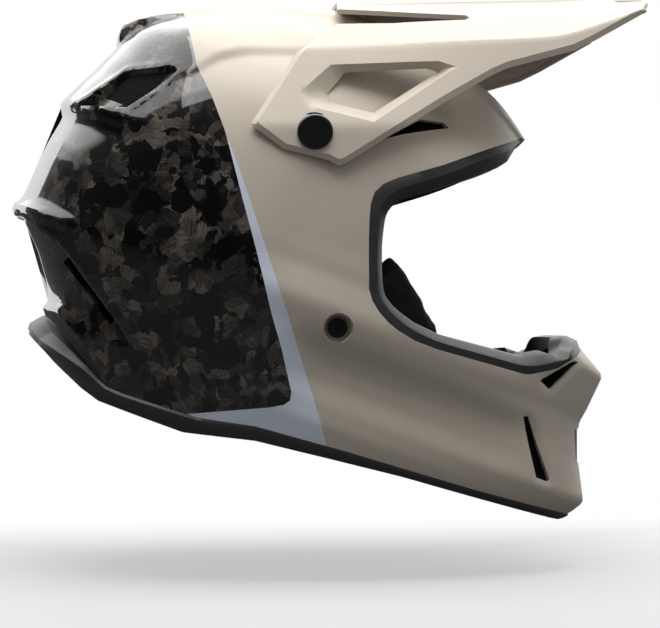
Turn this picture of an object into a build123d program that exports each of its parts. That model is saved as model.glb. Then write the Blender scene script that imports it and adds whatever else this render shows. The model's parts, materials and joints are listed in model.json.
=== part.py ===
"""Downhill full face helmet with a tilting visor, pull-out cheek pads and a double D-ring strap.

Frame: +X is the front, +Y the wearer's left, +Z up, in millimetres. The origin is the centre of
the head cavity, on the plane of symmetry. The helmet is drawn as a lines plan: flat closed
outlines stacked along a direction that leans forward by shell_lean, as the jaw line does.
"""
import os
from math import cos, hypot, pi, radians, sin

from build123d import *

# Driving sizes of the helmet
head_length = 200.0
shell_lean = 20.8
shell_wall = 3.0
fit_gap = 0.3
cut_reach = 200.0

# Rows of the lines plan as shares of head_length: level, rear, front, half width and place of the
# greatest width, then the rear and front powers and the part of the jaw hollow
upper_row_shares = (
    (0.068, 0.736, 0.890, 0.598, -0.024, 2.30, 1.90, 0.0),
    (0.190, 0.722, 0.830, 0.588, -0.035, 2.30, 2.00, 0.0),
    (0.340, 0.676, 0.780, 0.556, -0.050, 2.25, 2.10, 0.0),
    (0.470, 0.605, 0.650, 0.488, -0.055, 2.20, 2.15, 0.0),
    (0.580, 0.478, 0.522, 0.384, -0.040, 2.15, 2.15, 0.0),
    (0.650, 0.335, 0.415, 0.280, -0.010, 2.10, 2.10, 0.0),
    (0.700, 0.195, 0.262, 0.184, 0.000, 2.05, 2.00, 0.0),
    (0.726, 0.075, 0.130, 0.095, 0.015, 2.00, 2.00, 0.0),
)
lower_row_shares = (
    (0.068, 0.736, 0.890, 0.598, -0.024, 2.30, 1.90, 0.0),
    (0.020, 0.738, 0.985, 0.600, -0.020, 2.30, 1.85, 0.0),
    (-0.095, 0.752, 0.975, 0.598, -0.010, 2.30, 1.85, 0.0),
    (-0.130, 0.760, 0.968, 0.594, 0.000, 2.30, 1.85, 0.2),
    (-0.172, 0.735, 0.980, 0.586, 0.010, 2.30, 1.85, 0.5),
    (-0.235, 0.670, 1.005, 0.574, 0.030, 2.30, 1.85, 1.0),
    (-0.340, 0.592, 1.062, 0.552, 0.050, 2.30, 1.85, 0.3),
    (-0.375, 0.575, 1.040, 0.542, 0.055, 2.30, 1.85, 0.0),
    (-0.600, 0.430, 0.850, 0.470, 0.080, 2.30, 1.90, 0.0),
)
jaw_hollow = 9.0
hollow_start_shares = (0.02, 0.20)
hollow_end_shares = (0.70, 0.93)
row_points = 20

# Part of head_length over which the drawn-in rows of a layer come down to the full inset
drop_span_share = 0.250

# Head cavity rows as shares of head_length: height, rear, front and half width
cavity_row_shares = (
    (-0.900, 0.440, 0.560, 0.390), (-0.450, 0.450, 0.560, 0.400), (-0.200, 0.490, 0.545, 0.420),
    (0.050, 0.530, 0.535, 0.425), (0.250, 0.522, 0.515, 0.412), (0.400, 0.445, 0.435, 0.342),
    (0.500, 0.320, 0.310, 0.240), (0.560, 0.150, 0.150, 0.110),
)
cavity_power = 2.25
cavity_points = 16

# Side outlines as shares of head_length, x then z
port_top_shares = ((0.900, 0.352), (0.690, 0.350), (0.406, 0.244), (0.275, 0.206))
port_corner_shares = ((0.216, 0.169), (0.203, 0.137))
port_rear_shares = ((0.198, 0.042), (0.198, -0.090))
port_foot_shares = ((0.224, -0.144), (0.270, -0.196), (0.379, -0.246))
port_sill_shares = ((0.652, -0.320), (0.745, -0.305), (0.854, -0.249), (1.150, -0.246))
sight_top_shares = ((0.900, 0.340), (0.688, 0.338), (0.628, 0.280), (0.430, 0.196), (0.318, 0.160))
sight_corner_shares = ((0.262, 0.125), (0.250, 0.097))
sight_rear_shares = ((0.243, 0.030), (0.244, -0.085))
sight_foot_shares = ((0.268, -0.128), (0.315, -0.170), (0.405, -0.214))
sight_sill_shares = ((0.650, -0.278), (0.735, -0.268), (0.810, -0.213), (1.150, -0.205))
shell_edge_shares = (
    (-0.900, -0.130), (-0.670, -0.155), (-0.645, -0.200), (-0.545, -0.292), (-0.495, -0.342),
    (-0.450, -0.364), (-0.250, -0.428), (-0.100, -0.450), (0.140, -0.518), (0.500, -0.630),
    (0.830, -0.727), (1.150, -0.800),
)
base_edge_shares = (
    (-0.900, -0.150), (-0.717, -0.172), (-0.700, -0.212), (-0.560, -0.350), (-0.515, -0.388),
    (-0.290, -0.468), (-0.100, -0.490), (0.100, -0.540), (0.300, -0.592), (0.785, -0.738),
    (0.830, -0.744), (1.150, -0.830),
)
rear_panel_shares = (
    (-0.900, 0.140), (-0.724, 0.114), (-0.640, 0.046), (-0.601, 0.012), (-0.430, -0.222),
    (-0.421, -0.237), (-0.545, -0.222), (-0.620, -0.140), (-0.900, -0.120),
)
brow_vent_shares = ((0.211, 0.294), (0.349, 0.370), (0.418, 0.366), (0.432, 0.350), (0.298, 0.326))
rear_vent_shares = ((-0.500, 0.412), (-0.400, 0.510), (-0.320, 0.516), (-0.420, 0.410))
rear_slit_shares = ((-0.610, -0.010), (-0.585, 0.000), (-0.470, -0.165), (-0.490, -0.175))
chin_gill_shares = ((0.694, -0.338), (0.726, -0.364), (0.818, -0.292), (0.806, -0.285))
chin_slot_shares = ((0.647, -0.437), (0.661, -0.435), (0.734, -0.618), (0.690, -0.604))
liner_front_shares = (
    (0.900, 0.362), (0.690, 0.360), (0.404, 0.253), (0.272, 0.214), (0.210, 0.175), (0.196, 0.137),
    (0.190, 0.010), (0.100, -0.010), (0.050, -0.100), (0.010, -0.170), (-0.020, -0.900), (1.200, -0.900),
)
chin_region_shares = ((0.185, -0.060), (1.100, -0.060), (1.100, -0.860), (0.235, -0.620))
brow_region_shares = ((0.300, 0.225), (0.640, 0.345), (0.640, 0.500), (0.160, 0.500), (0.300, 0.400))
nape_region_shares = ((-0.700, 0.160), (-0.300, 0.160), (-0.300, -0.160), (-0.700, -0.160))
neck_region_shares = ((-0.900, 0.000), (-0.045, 0.000), (-0.045, -0.700), (-0.900, -0.700))
cheek_outline_shares = (
    (0.246, -0.012), (0.278, 0.002), (0.314, -0.035), (0.372, -0.125), (0.430, -0.215), (0.474, -0.325),
    (0.486, -0.430), (0.462, -0.500), (0.370, -0.512), (0.270, -0.494), (0.240, -0.440), (0.233, -0.300),
    (0.234, -0.130),
)

# Front outline of the mouth vent as shares of head_length, y then z
mouth_vent_shares = ((-0.130, -0.480), (-0.105, -0.580), (0.105, -0.580), (0.130, -0.480))

# Skin features, trims, screens and foams
rear_panel_depth = 2.0
rear_panel_room = 8.0
trim_face = 0.8
trim_depth = 13.0
base_lip = 8.0
base_stand = 0.6
screen_wall = 1.2
screen_margin = 3.0
liner_lift = 14.0
brow_well = 60.0
rear_well = 50.0
chin_well = 25.0
cheek_foam_depth = 23.0
grille_bar = 3.0
grille_gap = 5.0
grille_wall = 2.0
pad_thickness = 8.0
neck_roll_depths = (9.0, 30.0)
neck_roll_lifts = (2.0, 13.2)
crown_pad_length = 120.0
crown_pad_width = 84.0
crown_pad_gap = 10.0
nape_pad_width = 110.0

# Cheek pads: covers over foam, lofted across the width, on a plate with a grip patch behind it
cheek_station_shares = (0.470, 0.430, 0.370, 0.320, 0.296)
cheek_draws = (4.0, 0.0, 0.0, 5.0, 13.0)
patch_wall = 1.0
plate_wall = 1.5
patch_draw = 14.0
plate_draw = 7.0
tab_width = 12.0
tab_wall = 1.2
tab_length = 16.0
tab_place_shares = (0.245, -0.310, -0.455)

# Chin strap anchors
bolt_place_shares = (0.1135, -0.1905)
bolt_head_radius = 5.3
bolt_head_height = 2.9
bolt_radius = 3.0
bolt_seat = 110.5
bolt_length = 20.5
socket_radius = 1.6
socket_depth = 1.4
boss_radius = 10.0
boss_depth = 12.6
boss_cover = 3.2
head_clearance = 0.3
turn_clearance = 0.05
strap_tab_wall = 1.8
strap_tab_gap = 0.8
strap_tab_drop = 25.5
strap_slot = 4.0
strap_bar = 3.0
nut_radius = 8.0
nut_height = 4.5

# Webbing, D-rings and sleeves
strap_width = 20.0
webbing = 1.6
strap_reach = 98.5
strap_low = -98.0
strap_rise = 34.0
ring_wire = 3.2
ring_widths = (28.5, 36.0)
ring_corner = 3.5
far_bars = (-37.0, -30.0)
near_bars = (-53.0, -46.5)
far_lifts = (1.7, 3.6)
sleeve_width = 26.0
sleeve_height = 9.0
fold_stations = (83.0, 91.5)
sleeve_stations = (58.0, 64.5, 71.0, 77.5, 84.0)
web_stations = (70.0, 50.0, 30.0, 10.0, -10.0, -22.0, -30.0)
snap_radius = 6.0
snap_height = 2.2
snap_stations = (50.0, 30.0)

# Visor: rows across the helmet as shares of head_length, then its side outline, windows and slots
visor_wall = 2.4
visor_row_shares = (
    (-0.140, (0.602, 0.220), (0.590, 0.338), (0.495, 0.548), (0.335, 0.632),
     (0.210, 0.676), (0.100, 0.702), (0, 0.712)),
    (0.170, (0.604, 0.200), (0.590, 0.338), (0.492, 0.560), (0.330, 0.652),
     (0.205, 0.701), (0.100, 0.724), (0, 0.731)),
    (0.420, (0.584, 0.250), (0.570, 0.350), (0.485, 0.576), (0.320, 0.652),
     (0.200, 0.697), (0.100, 0.726), (0, 0.733)),
    (0.700, (0.520, 0.400), (0.505, 0.450), (0.455, 0.594), (0.290, 0.664),
     (0.185, 0.700), (0.090, 0.732), (0, 0.740)),
    (0.860, (0.470, 0.490), (0.460, 0.530), (0.425, 0.640), (0.260, 0.690),
     (0.160, 0.718), (0.080, 0.740), (0, 0.746)),
    (1.080, (0.405, 0.600), (0.400, 0.640), (0.375, 0.728), (0.220, 0.742),
     (0.130, 0.748), (0.060, 0.752), (0, 0.753)),
)
visor_side_shares = (
    (-0.114, 0.348), (-0.103, 0.333), (-0.030, 0.278), (0.085, 0.250), (0.114, 0.235), (0.136, 0.243),
    (0.390, 0.403), (0.443, 0.434), (0.539, 0.489), (0.580, 0.507), (0.765, 0.559), (0.825, 0.588),
    (0.982, 0.676), (1.072, 0.726), (1.054, 0.770), (0.172, 0.770), (0.122, 0.640), (0.020, 0.553),
    (0.010, 0.541),
)
visor_front_shares = ((-0.200, -0.700), (0.962, -0.700), (0.962, -0.380), (1.030, -0.180), (1.050, 0.000))
visor_window_shares = (
    (0.090, 0.440), (0.140, 0.499), (0.358, 0.512), (0.390, 0.502), (0.212, 0.389), (0.098, 0.417),
)
visor_slot_shares = ((0.080, 0.220), (0.500, 0.200), (0.480, 0.235), (0.300, 0.285), (0.080, 0.300))
pivot_shares = (0.052, 0.322)
pivot_face = 118.0
visor_seat = 112.3
seat_radius = 11.5
pivot_step = 0.7
washer_radius = 10.5
cap_radius = 9.3
cap_height = 3.2
cap_edge = 0.8
screw_length = 17.0
visor_nut_radius = 7.0
visor_nut_height = 5.0
nut_drop = 2.0


def sized(shares):
    """Turn shares of the head length into lengths."""
    return [tuple(head_length * value for value in point) for point in shares]


def ramp(value, start, end):
    """Rise smoothly from 0 at the start to 1 at the end."""
    share = min(max((value - start) / (end - start), 0), 1)
    return share * share * (3 - 2 * share)


def bow(share, power):
    """Signed power of a sine or cosine, which squares up a round outline."""
    size = abs(share) ** (2 / power) if abs(share) > 1e-9 else 0
    return size if share > 0 else -size


def slice_plane(level):
    """Plane of one outline of the lines plan, at this distance from the origin."""
    lean = radians(shell_lean)
    normal = Vector(sin(lean), 0, cos(lean))
    return Plane(origin=normal * level, x_dir=(cos(lean), 0, -sin(lean)), z_dir=normal)


def slice_outline(row, inset, hollow_depth):
    """Points of one outline of the lines plan, drawn in by the inset."""
    rear, front, half, widest = (head_length * share for share in row[1:5])
    rear_power, front_power, hollow = row[5:8]
    start = [head_length * share for share in hollow_start_shares]
    end = [head_length * share for share in hollow_end_shares]
    points = []
    for number in range(row_points):
        turn = 2 * pi * number / row_points
        ahead = cos(turn) >= 0
        power = front_power if ahead else rear_power
        reach = front - inset - widest if ahead else rear - inset + widest
        along = widest + reach * bow(cos(turn), power)
        dip = hollow_depth * hollow * ramp(along, *start) * (1 - ramp(along, *end))
        points.append((along, (half - inset) * bow(sin(turn), power) * (1 - dip / half)))
    return points


def helmet_layer(inset, hollow_depth=jaw_hollow):
    """Closed solid of the helmet's outside, drawn in by the inset."""
    with BuildPart() as layer:
        for row in upper_row_shares:
            drop = inset * min((row[0] - upper_row_shares[0][0]) / drop_span_share, 1)
            with BuildSketch(slice_plane(head_length * row[0] - drop)):
                with BuildLine():
                    Spline(*slice_outline(row, inset, hollow_depth), periodic=True)
                make_face()
        loft()
        for row in lower_row_shares:
            with BuildSketch(slice_plane(head_length * row[0])):
                with BuildLine():
                    Spline(*slice_outline(row, inset, hollow_depth), periodic=True)
                make_face()
        loft(ruled=True)
    return layer.part


def head_layer(inset):
    """Closed solid of the head cavity, drawn in by the inset."""
    with BuildPart() as layer:
        for height, rear, front, half in sized(cavity_row_shares):
            middle = (front - rear) / 2
            reach = (front + rear) / 2 - inset
            drop = inset if height > 0 else 0
            points = []
            for number in range(cavity_points):
                turn = 2 * pi * number / cavity_points
                side = (half - inset) * bow(sin(turn), cavity_power)
                points.append((middle + reach * bow(cos(turn), cavity_power), side))
            with BuildSketch(Plane.XY.offset(height - drop)):
                with BuildLine():
                    Spline(*points, periodic=True)
                make_face()
        loft()
    return layer.part


def prism(shares, grow=0):
    """Flat side outline pushed through the helmet, both ways from the middle plane."""
    with BuildPart() as block:
        with BuildSketch(Plane.XZ):
            with BuildLine():
                Polyline(*sized(shares), close=True)
            make_face()
            if grow:
                offset(amount=grow, kind=Kind.INTERSECTION)
        extrude(amount=cut_reach, both=True)
    return block.part


def vent_well(shares, floor):
    """Room behind a side opening, on both sides, as far in as the floor."""
    with BuildPart() as block:
        add(prism(shares, screen_margin + fit_gap))
        Box(2 * cut_reach, 2 * floor, 2 * cut_reach, mode=Mode.SUBTRACT)
    return block.part


def port_block(top, corner, rear, foot, sill):
    """Eye port pushed through the whole width, rounded at the temple and the foot."""
    with BuildPart() as block:
        with BuildSketch(Plane.XZ):
            with BuildLine():
                Polyline(*sized(top))
                Spline(*sized((top[-1],) + corner + (rear[0],)))
                Line(*sized(rear))
                Spline(*sized((rear[-1],) + foot))
                Polyline(*sized((foot[-1],) + sill))
                Line(*sized((sill[-1], top[0])))
            make_face()
        extrude(amount=cut_reach, both=True)
    return block.part


def below_line(shares, lift=0):
    """Everything below a side line that runs from rear to front, lifted by the lift."""
    floor = -2 * head_length
    points = [(x, z + lift) for x, z in sized(shares)]
    with BuildPart() as block:
        with BuildSketch(Plane.XZ):
            with BuildLine():
                Polyline((points[0][0], floor), *points, (points[-1][0], floor), close=True)
            make_face()
        extrude(amount=cut_reach, both=True)
    return block.part


def parallel(points, distance):
    """Open outline moved sideways by the distance, with mitred corners."""
    moved = []
    for number, (a, b) in enumerate(points):
        sides = []
        for start, end in ((number - 1, number), (number, number + 1)):
            if start >= 0 and end < len(points):
                run = points[end][0] - points[start][0]
                rise = points[end][1] - points[start][1]
                length = hypot(run, rise)
                sides.append((-rise / length, run / length))
        normal = [sum(side[axis] for side in sides) / len(sides) for axis in (0, 1)]
        square = normal[0] ** 2 + normal[1] ** 2
        moved.append((a + distance * normal[0] / square, b + distance * normal[1] / square))
    return moved


def ribbon(points, middle, width, thickness):
    """Band of the given width along a route in the plane across the helmet."""
    half = thickness / 2
    with BuildPart() as band:
        with BuildSketch(Plane.YZ.offset(middle)):
            with BuildLine():
                Polyline(*parallel(points, half), *reversed(parallel(points, -half)), close=True)
            make_face()
        extrude(amount=width / 2, both=True)
    return band.part


def strap_point(along, lift):
    """Place on the hanging strap, lifted off its middle line."""
    share = along / strap_reach
    slope = 2 * strap_rise * share / strap_reach
    size = hypot(1, slope)
    return along - lift * slope / size, strap_low + strap_rise * share * share + lift / size


def across(x, z, radius, inner, outer, side):
    """Cylinder across the helmet on one side, between two distances from the middle plane."""
    with BuildPart() as pin:
        with BuildSketch(Plane.XZ.offset(-side * inner)):
            with Locations((x, z)):
                Circle(radius)
        extrude(amount=side * (inner - outer))
    return pin.part


def save(piece, name):
    """Label a finished piece and write its file."""
    piece.label = name
    export_step(piece, f"parts/{name}.step")


os.makedirs("parts", exist_ok=True)

# Layers, cutters and places that several pieces share
port = port_block(port_top_shares, port_corner_shares, port_rear_shares, port_foot_shares, port_sill_shares)
sight = port_block(
    sight_top_shares, sight_corner_shares, sight_rear_shares, sight_foot_shares, sight_sill_shares
)
shell_inside = helmet_layer(shell_wall)
screen_inside = helmet_layer(shell_wall + screen_wall)
bolt_x, bolt_z = (head_length * share for share in bolt_place_shares)
pivot_x, pivot_z = (head_length * share for share in pivot_shares)
seat_back = visor_seat - 2 * shell_wall
brow_vents = (brow_vent_shares,)
rear_vents = (rear_vent_shares, rear_slit_shares)
chin_vents = (chin_gill_shares, chin_slot_shares)
sides = (-1, 1)
with BuildPart() as mouth_cut:
    with BuildSketch(Plane.YZ.offset(head_length / 2)):
        with BuildLine():
            Polyline(*sized(mouth_vent_shares), close=True)
        make_face()
    extrude(amount=cut_reach)
with BuildPart() as mouth_room:
    with BuildSketch(Plane.YZ.offset(head_length / 2)):
        with BuildLine():
            Polyline(*sized(mouth_vent_shares), close=True)
        make_face()
        offset(amount=screen_margin, kind=Kind.INTERSECTION)
    extrude(amount=cut_reach)

# Outer shell: moulded composite skin with its openings, strap bosses and flat visor seats
with BuildPart() as panel_cut:
    add(prism(rear_panel_shares))
    add(helmet_layer(rear_panel_depth), mode=Mode.SUBTRACT)
with BuildPart() as outer_shell:
    add(helmet_layer(0))
    cuts = [shell_inside, panel_cut.part, below_line(shell_edge_shares), port, mouth_cut.part]
    cuts += [prism(vent) for vent in brow_vents + rear_vents + chin_vents]
    cuts += [across(pivot_x, pivot_z, washer_radius + fit_gap, visor_seat, cut_reach, side) for side in sides]
    for cut in cuts:
        add(cut, mode=Mode.SUBTRACT)
    boss_ends = (bolt_seat - boss_depth, bolt_seat + boss_cover)
    add([across(bolt_x, bolt_z, boss_radius, *boss_ends, side) for side in sides])
    add([across(pivot_x, pivot_z, washer_radius, seat_back, visor_seat, side) for side in sides])
    sink_radius = bolt_head_radius + head_clearance
    holes = [across(bolt_x, bolt_z, sink_radius, bolt_seat, cut_reach, side) for side in sides]
    holes += [across(bolt_x, bolt_z, bolt_radius + turn_clearance, 0, cut_reach, side) for side in sides]
    holes += [across(pivot_x, pivot_z, bolt_radius + head_clearance, 0, cut_reach, side) for side in sides]
    for cut in holes:
        add(cut, mode=Mode.SUBTRACT)
save(outer_shell.part, "outer_shell")

# Base trim: rubber edge that hooks over the lower edge of the shell
with BuildPart() as base_trim:
    add(below_line(shell_edge_shares))
    add(helmet_layer(-base_stand), mode=Mode.INTERSECT)
    for cut in [helmet_layer(base_lip), below_line(base_edge_shares)]:
        add(cut, mode=Mode.SUBTRACT)
save(base_trim.part, "base_trim")

# Eye port trim: moulded rubber ring, inside the shell's port edge
with BuildPart() as eyeport_trim:
    add(helmet_layer(trim_face))
    for cut in [helmet_layer(trim_depth), sight]:
        add(cut, mode=Mode.SUBTRACT)
    add(port, mode=Mode.INTERSECT)
save(eyeport_trim.part, "eyeport_trim")

# Impact liner: expanded foam, hollow for the head, cut away in front of the ears and behind the vents
with BuildPart() as panel_room:
    add(prism(rear_panel_shares, shell_wall))
    add(helmet_layer(rear_panel_room), mode=Mode.SUBTRACT)
pad_outside = head_layer(0)
nut_floor = seat_back - nut_drop - visor_nut_height
with BuildPart() as impact_liner:
    add(shell_inside)
    cuts = [pad_outside, prism(liner_front_shares), below_line(shell_edge_shares, liner_lift)]
    cuts += [panel_room.part]
    cuts += [vent_well(vent, brow_well) for vent in brow_vents]
    cuts += [vent_well(vent, rear_well) for vent in rear_vents]
    nut_room = visor_nut_radius + fit_gap
    cuts += [across(pivot_x, pivot_z, nut_room, nut_floor, cut_reach, side) for side in sides]
    cuts += [across(pivot_x, pivot_z, washer_radius + fit_gap, seat_back, cut_reach, side) for side in sides]
    for cut in cuts:
        add(cut, mode=Mode.SUBTRACT)
save(impact_liner.part, "impact_liner")

# Chin liner: expanded foam inside the chin bar, round to both cheeks
smooth_inside = helmet_layer(shell_wall + cheek_foam_depth, 0)
with BuildPart() as chin_liner:
    add(shell_inside)
    cuts = [smooth_inside, port, below_line(shell_edge_shares, fit_gap), mouth_room.part]
    cuts += [vent_well(vent, chin_well) for vent in chin_vents]
    for cut in cuts:
        add(cut, mode=Mode.SUBTRACT)
    add(prism(chin_region_shares), mode=Mode.INTERSECT)
save(chin_liner.part, "chin_liner")

# Vent screens: thin mesh sheets behind the skin's openings
for name, vents in (("brow_screens", brow_vents), ("rear_screens", rear_vents), ("chin_screens", chin_vents)):
    with BuildPart() as screens:
        add([prism(vent, screen_margin) for vent in vents])
        add(shell_inside, mode=Mode.INTERSECT)
        for cut in [screen_inside, port, panel_room.part]:
            add(cut, mode=Mode.SUBTRACT)
    save(screens.part, name)

# Mouth grille: slotted plate behind the mouth vent
with BuildPart() as grille_cut:
    with BuildSketch(Plane.YZ.offset(head_length / 2)):
        with BuildLine():
            Polyline(*sized(mouth_vent_shares), close=True)
        make_face()
        offset(amount=screen_margin - fit_gap, kind=Kind.INTERSECTION)
        with Locations((0, head_length * (mouth_vent_shares[0][1] + mouth_vent_shares[1][1]) / 2)):
            with GridLocations(0, grille_bar + grille_gap, 1, 3):
                Rectangle(-2 * head_length * mouth_vent_shares[1][0], grille_gap, mode=Mode.SUBTRACT)
    extrude(amount=cut_reach)
with BuildPart() as mouth_grille:
    add(shell_inside)
    add(helmet_layer(shell_wall + grille_wall), mode=Mode.SUBTRACT)
    add(grille_cut.part, mode=Mode.INTERSECT)
save(mouth_grille.part, "mouth_grille")

# Comfort pads: covered foam, each one layer thick on the impact liner
pad_inside = head_layer(pad_thickness)
with BuildPart() as brow_pad:
    add(prism(brow_region_shares))
    add(pad_outside, mode=Mode.INTERSECT)
    for cut in [pad_inside] + [prism(vent, screen_margin) for vent in brow_vents]:
        add(cut, mode=Mode.SUBTRACT)
save(brow_pad.part, "brow_pad")
with BuildPart() as crown_pad:
    with BuildSketch():
        RectangleRounded(crown_pad_length, crown_pad_width, crown_pad_width / 3)
        with GridLocations(0, 2 * (crown_pad_width / 4), 1, 2):
            Rectangle(crown_pad_length / 2, crown_pad_gap, mode=Mode.SUBTRACT)
    extrude(amount=cut_reach)
    add(pad_outside, mode=Mode.INTERSECT)
    add(pad_inside, mode=Mode.SUBTRACT)
    add(prism(brow_region_shares, fit_gap), mode=Mode.SUBTRACT)
save(crown_pad.part, "crown_pad")
with BuildPart() as nape_pad:
    with BuildSketch(Plane.XZ):
        with BuildLine():
            Polyline(*sized(nape_region_shares), close=True)
        make_face()
    extrude(amount=nape_pad_width / 2, both=True)
    add(pad_outside, mode=Mode.INTERSECT)
    add(pad_inside, mode=Mode.SUBTRACT)
save(nape_pad.part, "nape_pad")

# Neck roll: soft ring along the rear lower edge, under the impact liner
with BuildPart() as neck_roll:
    add(helmet_layer(neck_roll_depths[0]))
    add(below_line(shell_edge_shares, neck_roll_lifts[1]), mode=Mode.INTERSECT)
    add(prism(neck_region_shares), mode=Mode.INTERSECT)
    cuts = [helmet_layer(neck_roll_depths[1]), below_line(base_edge_shares, neck_roll_lifts[0])]
    for cut in cuts:
        add(cut, mode=Mode.SUBTRACT)
save(neck_roll.part, "neck_roll")

# Cheek pads with their plates, grip patches and pull tabs, drawn on the right and mirrored
patch_depth = shell_wall + cheek_foam_depth + fit_gap
plate_depth = patch_depth + patch_wall + fit_gap
pad_depth = plate_depth + plate_wall + fit_gap
cheek_outline = sized(cheek_outline_shares)
cheek_middle = [sum(values) / len(cheek_outline) for values in zip(*cheek_outline)]


def cheek_section(draw):
    """Cheek outline drawn in towards its middle by the given length."""
    section = []
    for x, z in cheek_outline:
        run, rise = cheek_middle[0] - x, cheek_middle[1] - z
        size = hypot(run, rise)
        section.append((x + draw * run / size, z + draw * rise / size))
    return section


def cheek_sheet(depth, wall, draw):
    """Sheet along the inside of the cheek foam, on the right side."""
    with BuildPart() as sheet:
        with BuildSketch(Plane.XZ):
            with BuildLine():
                Spline(*cheek_section(draw), periodic=True)
            make_face()
        extrude(amount=cut_reach)
        add(helmet_layer(depth, 0), mode=Mode.INTERSECT)
        add(helmet_layer(depth + wall, 0), mode=Mode.SUBTRACT)
    return sheet.part


with BuildPart() as cheek_pad:
    for station, draw in zip(cheek_station_shares, cheek_draws):
        with BuildSketch(Plane.XZ.offset(head_length * station)):
            with BuildLine():
                Spline(*cheek_section(draw), periodic=True)
            make_face()
    loft()
    add(helmet_layer(pad_depth, 0), mode=Mode.INTERSECT)
cheek_plate = cheek_sheet(plate_depth, plate_wall, plate_draw)
cheek_patch = cheek_sheet(patch_depth, patch_wall, patch_draw)
tab_x, tab_y, tab_top = (head_length * share for share in tab_place_shares)
with BuildPart() as cheek_tab:
    with BuildSketch(Plane.XZ.offset(-tab_y)):
        with Locations((tab_x, tab_top - tab_length / 2)):
            RectangleRounded(tab_width, tab_length, tab_width / 3)
    extrude(amount=tab_wall)
save(cheek_pad.part, "cheek_pad_right")
save(mirror(cheek_pad.part, about=Plane.XZ), "cheek_pad_left")
save(cheek_plate, "cheek_plate_right")
save(mirror(cheek_plate, about=Plane.XZ), "cheek_plate_left")
save(cheek_tab.part, "cheek_tab_right")
save(mirror(cheek_tab.part, about=Plane.XZ), "cheek_tab_left")
save(Compound(children=[cheek_patch, mirror(cheek_patch, about=Plane.XZ)]), "cheek_grip_patches")

# Strap bolts, nuts and the steel tabs that swing on them
tab_outer = bolt_seat - boss_depth - strap_tab_gap
tab_inner = tab_outer - strap_tab_wall
tab_middle = (tab_outer + tab_inner) / 2
bar_z = bolt_z - strap_tab_drop + strap_bar / 2
with BuildPart() as strap_bolts:
    for side in sides:
        add(across(bolt_x, bolt_z, bolt_head_radius, bolt_seat, bolt_seat + bolt_head_height, side))
        add(across(bolt_x, bolt_z, bolt_radius, bolt_seat - bolt_length, bolt_seat, side))
        top = bolt_seat + bolt_head_height
        add(across(bolt_x, bolt_z, socket_radius, top - socket_depth, top, side), mode=Mode.SUBTRACT)
save(strap_bolts.part, "strap_bolts")
with BuildPart() as strap_nuts:
    for side in sides:
        top = tab_inner - fit_gap
        add(across(bolt_x, bolt_z, nut_radius, top - nut_height, top, side))
        add(across(bolt_x, bolt_z, bolt_radius, 0, top, side), mode=Mode.SUBTRACT)
save(strap_nuts.part, "strap_nuts")
with BuildPart() as strap_tabs:
    for side in sides:
        with BuildSketch(Plane.XZ.offset(-side * tab_inner)):
            with Locations((bolt_x, bolt_z)):
                Circle(strap_width / 2 + strap_bar)
            with Locations((bolt_x, bolt_z - strap_tab_drop / 2)):
                Rectangle(strap_width + 2 * strap_bar, strap_tab_drop)
            with Locations((bolt_x, bar_z + (strap_bar + strap_slot) / 2)):
                RectangleRounded(strap_width + 2 * fit_gap, strap_slot, strap_slot / 3, mode=Mode.SUBTRACT)
            with Locations((bolt_x, bolt_z)):
                Circle(bolt_radius + turn_clearance, mode=Mode.SUBTRACT)
        extrude(amount=side * (tab_inner - tab_outer))
save(strap_tabs.part, "strap_tabs")

# Chin strap: one short and one long web, laced through the two rings
skin = webbing / 2 + turn_clearance
bar_turn = strap_bar / 2 + skin
side_turn = strap_tab_wall / 2 + skin


def tab_fold(side):
    """Route of the webbing round the bar of a steel tab, from its tail to the upper layer."""
    y = side * tab_middle
    out = side * side_turn
    return [
        strap_point(side * fold_stations[0], -skin), strap_point(side * fold_stations[1], -skin),
        (y + out, bar_z - bar_turn), (y + out, bar_z + bar_turn), (y - out, bar_z + bar_turn),
        (y - out, bar_z - bar_turn / 2),
        strap_point(side * fold_stations[1], skin), strap_point(side * fold_stations[0], skin),
    ]


def bend(along, lift, radius, start, end, steps):
    """Points round a bar, in strap coordinates, between two angles in degrees."""
    turns = [radians(start + (end - start) * step / steps) for step in range(steps + 1)]
    return [strap_point(along + radius * cos(turn), lift + radius * sin(turn)) for turn in turns]


wrap = ring_wire / 2 + skin + turn_clearance
short_stations = (-80.0, -70.0, -62.0)
short_route = tab_fold(-1) + [strap_point(along, skin) for along in short_stations]
short_route += [strap_point(near_bars[0], wrap)] + bend(near_bars[1], 0, wrap, 90, -90, 6)
short_route += [strap_point(near_bars[0], -wrap)]
short_route += [strap_point(along, -skin) for along in reversed(short_stations)]
long_route = tab_fold(1) + [strap_point(along, -skin) for along in web_stations]
long_route += bend(far_bars[0], far_lifts[0], wrap, -90, -300, 8)
long_route += [strap_point(along, skin) for along in reversed(web_stations[1:])]
save(ribbon(short_route, bolt_x, strap_width, webbing), "strap_short")
save(ribbon(long_route, bolt_x, strap_width, webbing), "strap_long")
d_rings = []
for near, far, lift, width in zip(near_bars, far_bars, far_lifts, ring_widths):
    foot = Vector(bolt_x, *strap_point(near, 0))
    reach = Vector(bolt_x, *strap_point(far, lift)) - foot
    with BuildSketch(Plane(origin=foot, x_dir=(1, 0, 0), z_dir=Vector(1, 0, 0).cross(reach))) as ring_shape:
        with Locations((0, reach.length / 2)):
            RectangleRounded(width, reach.length, ring_corner)
    ring_route = ring_shape.sketch.face().outer_wire()
    with BuildPart() as ring:
        with BuildSketch(Plane(origin=ring_route @ 0, z_dir=ring_route % 0)):
            Circle(ring_wire / 2)
        sweep(path=ring_route)
    d_rings.append(ring.part)
save(Compound(children=d_rings), "d_rings")

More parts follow.
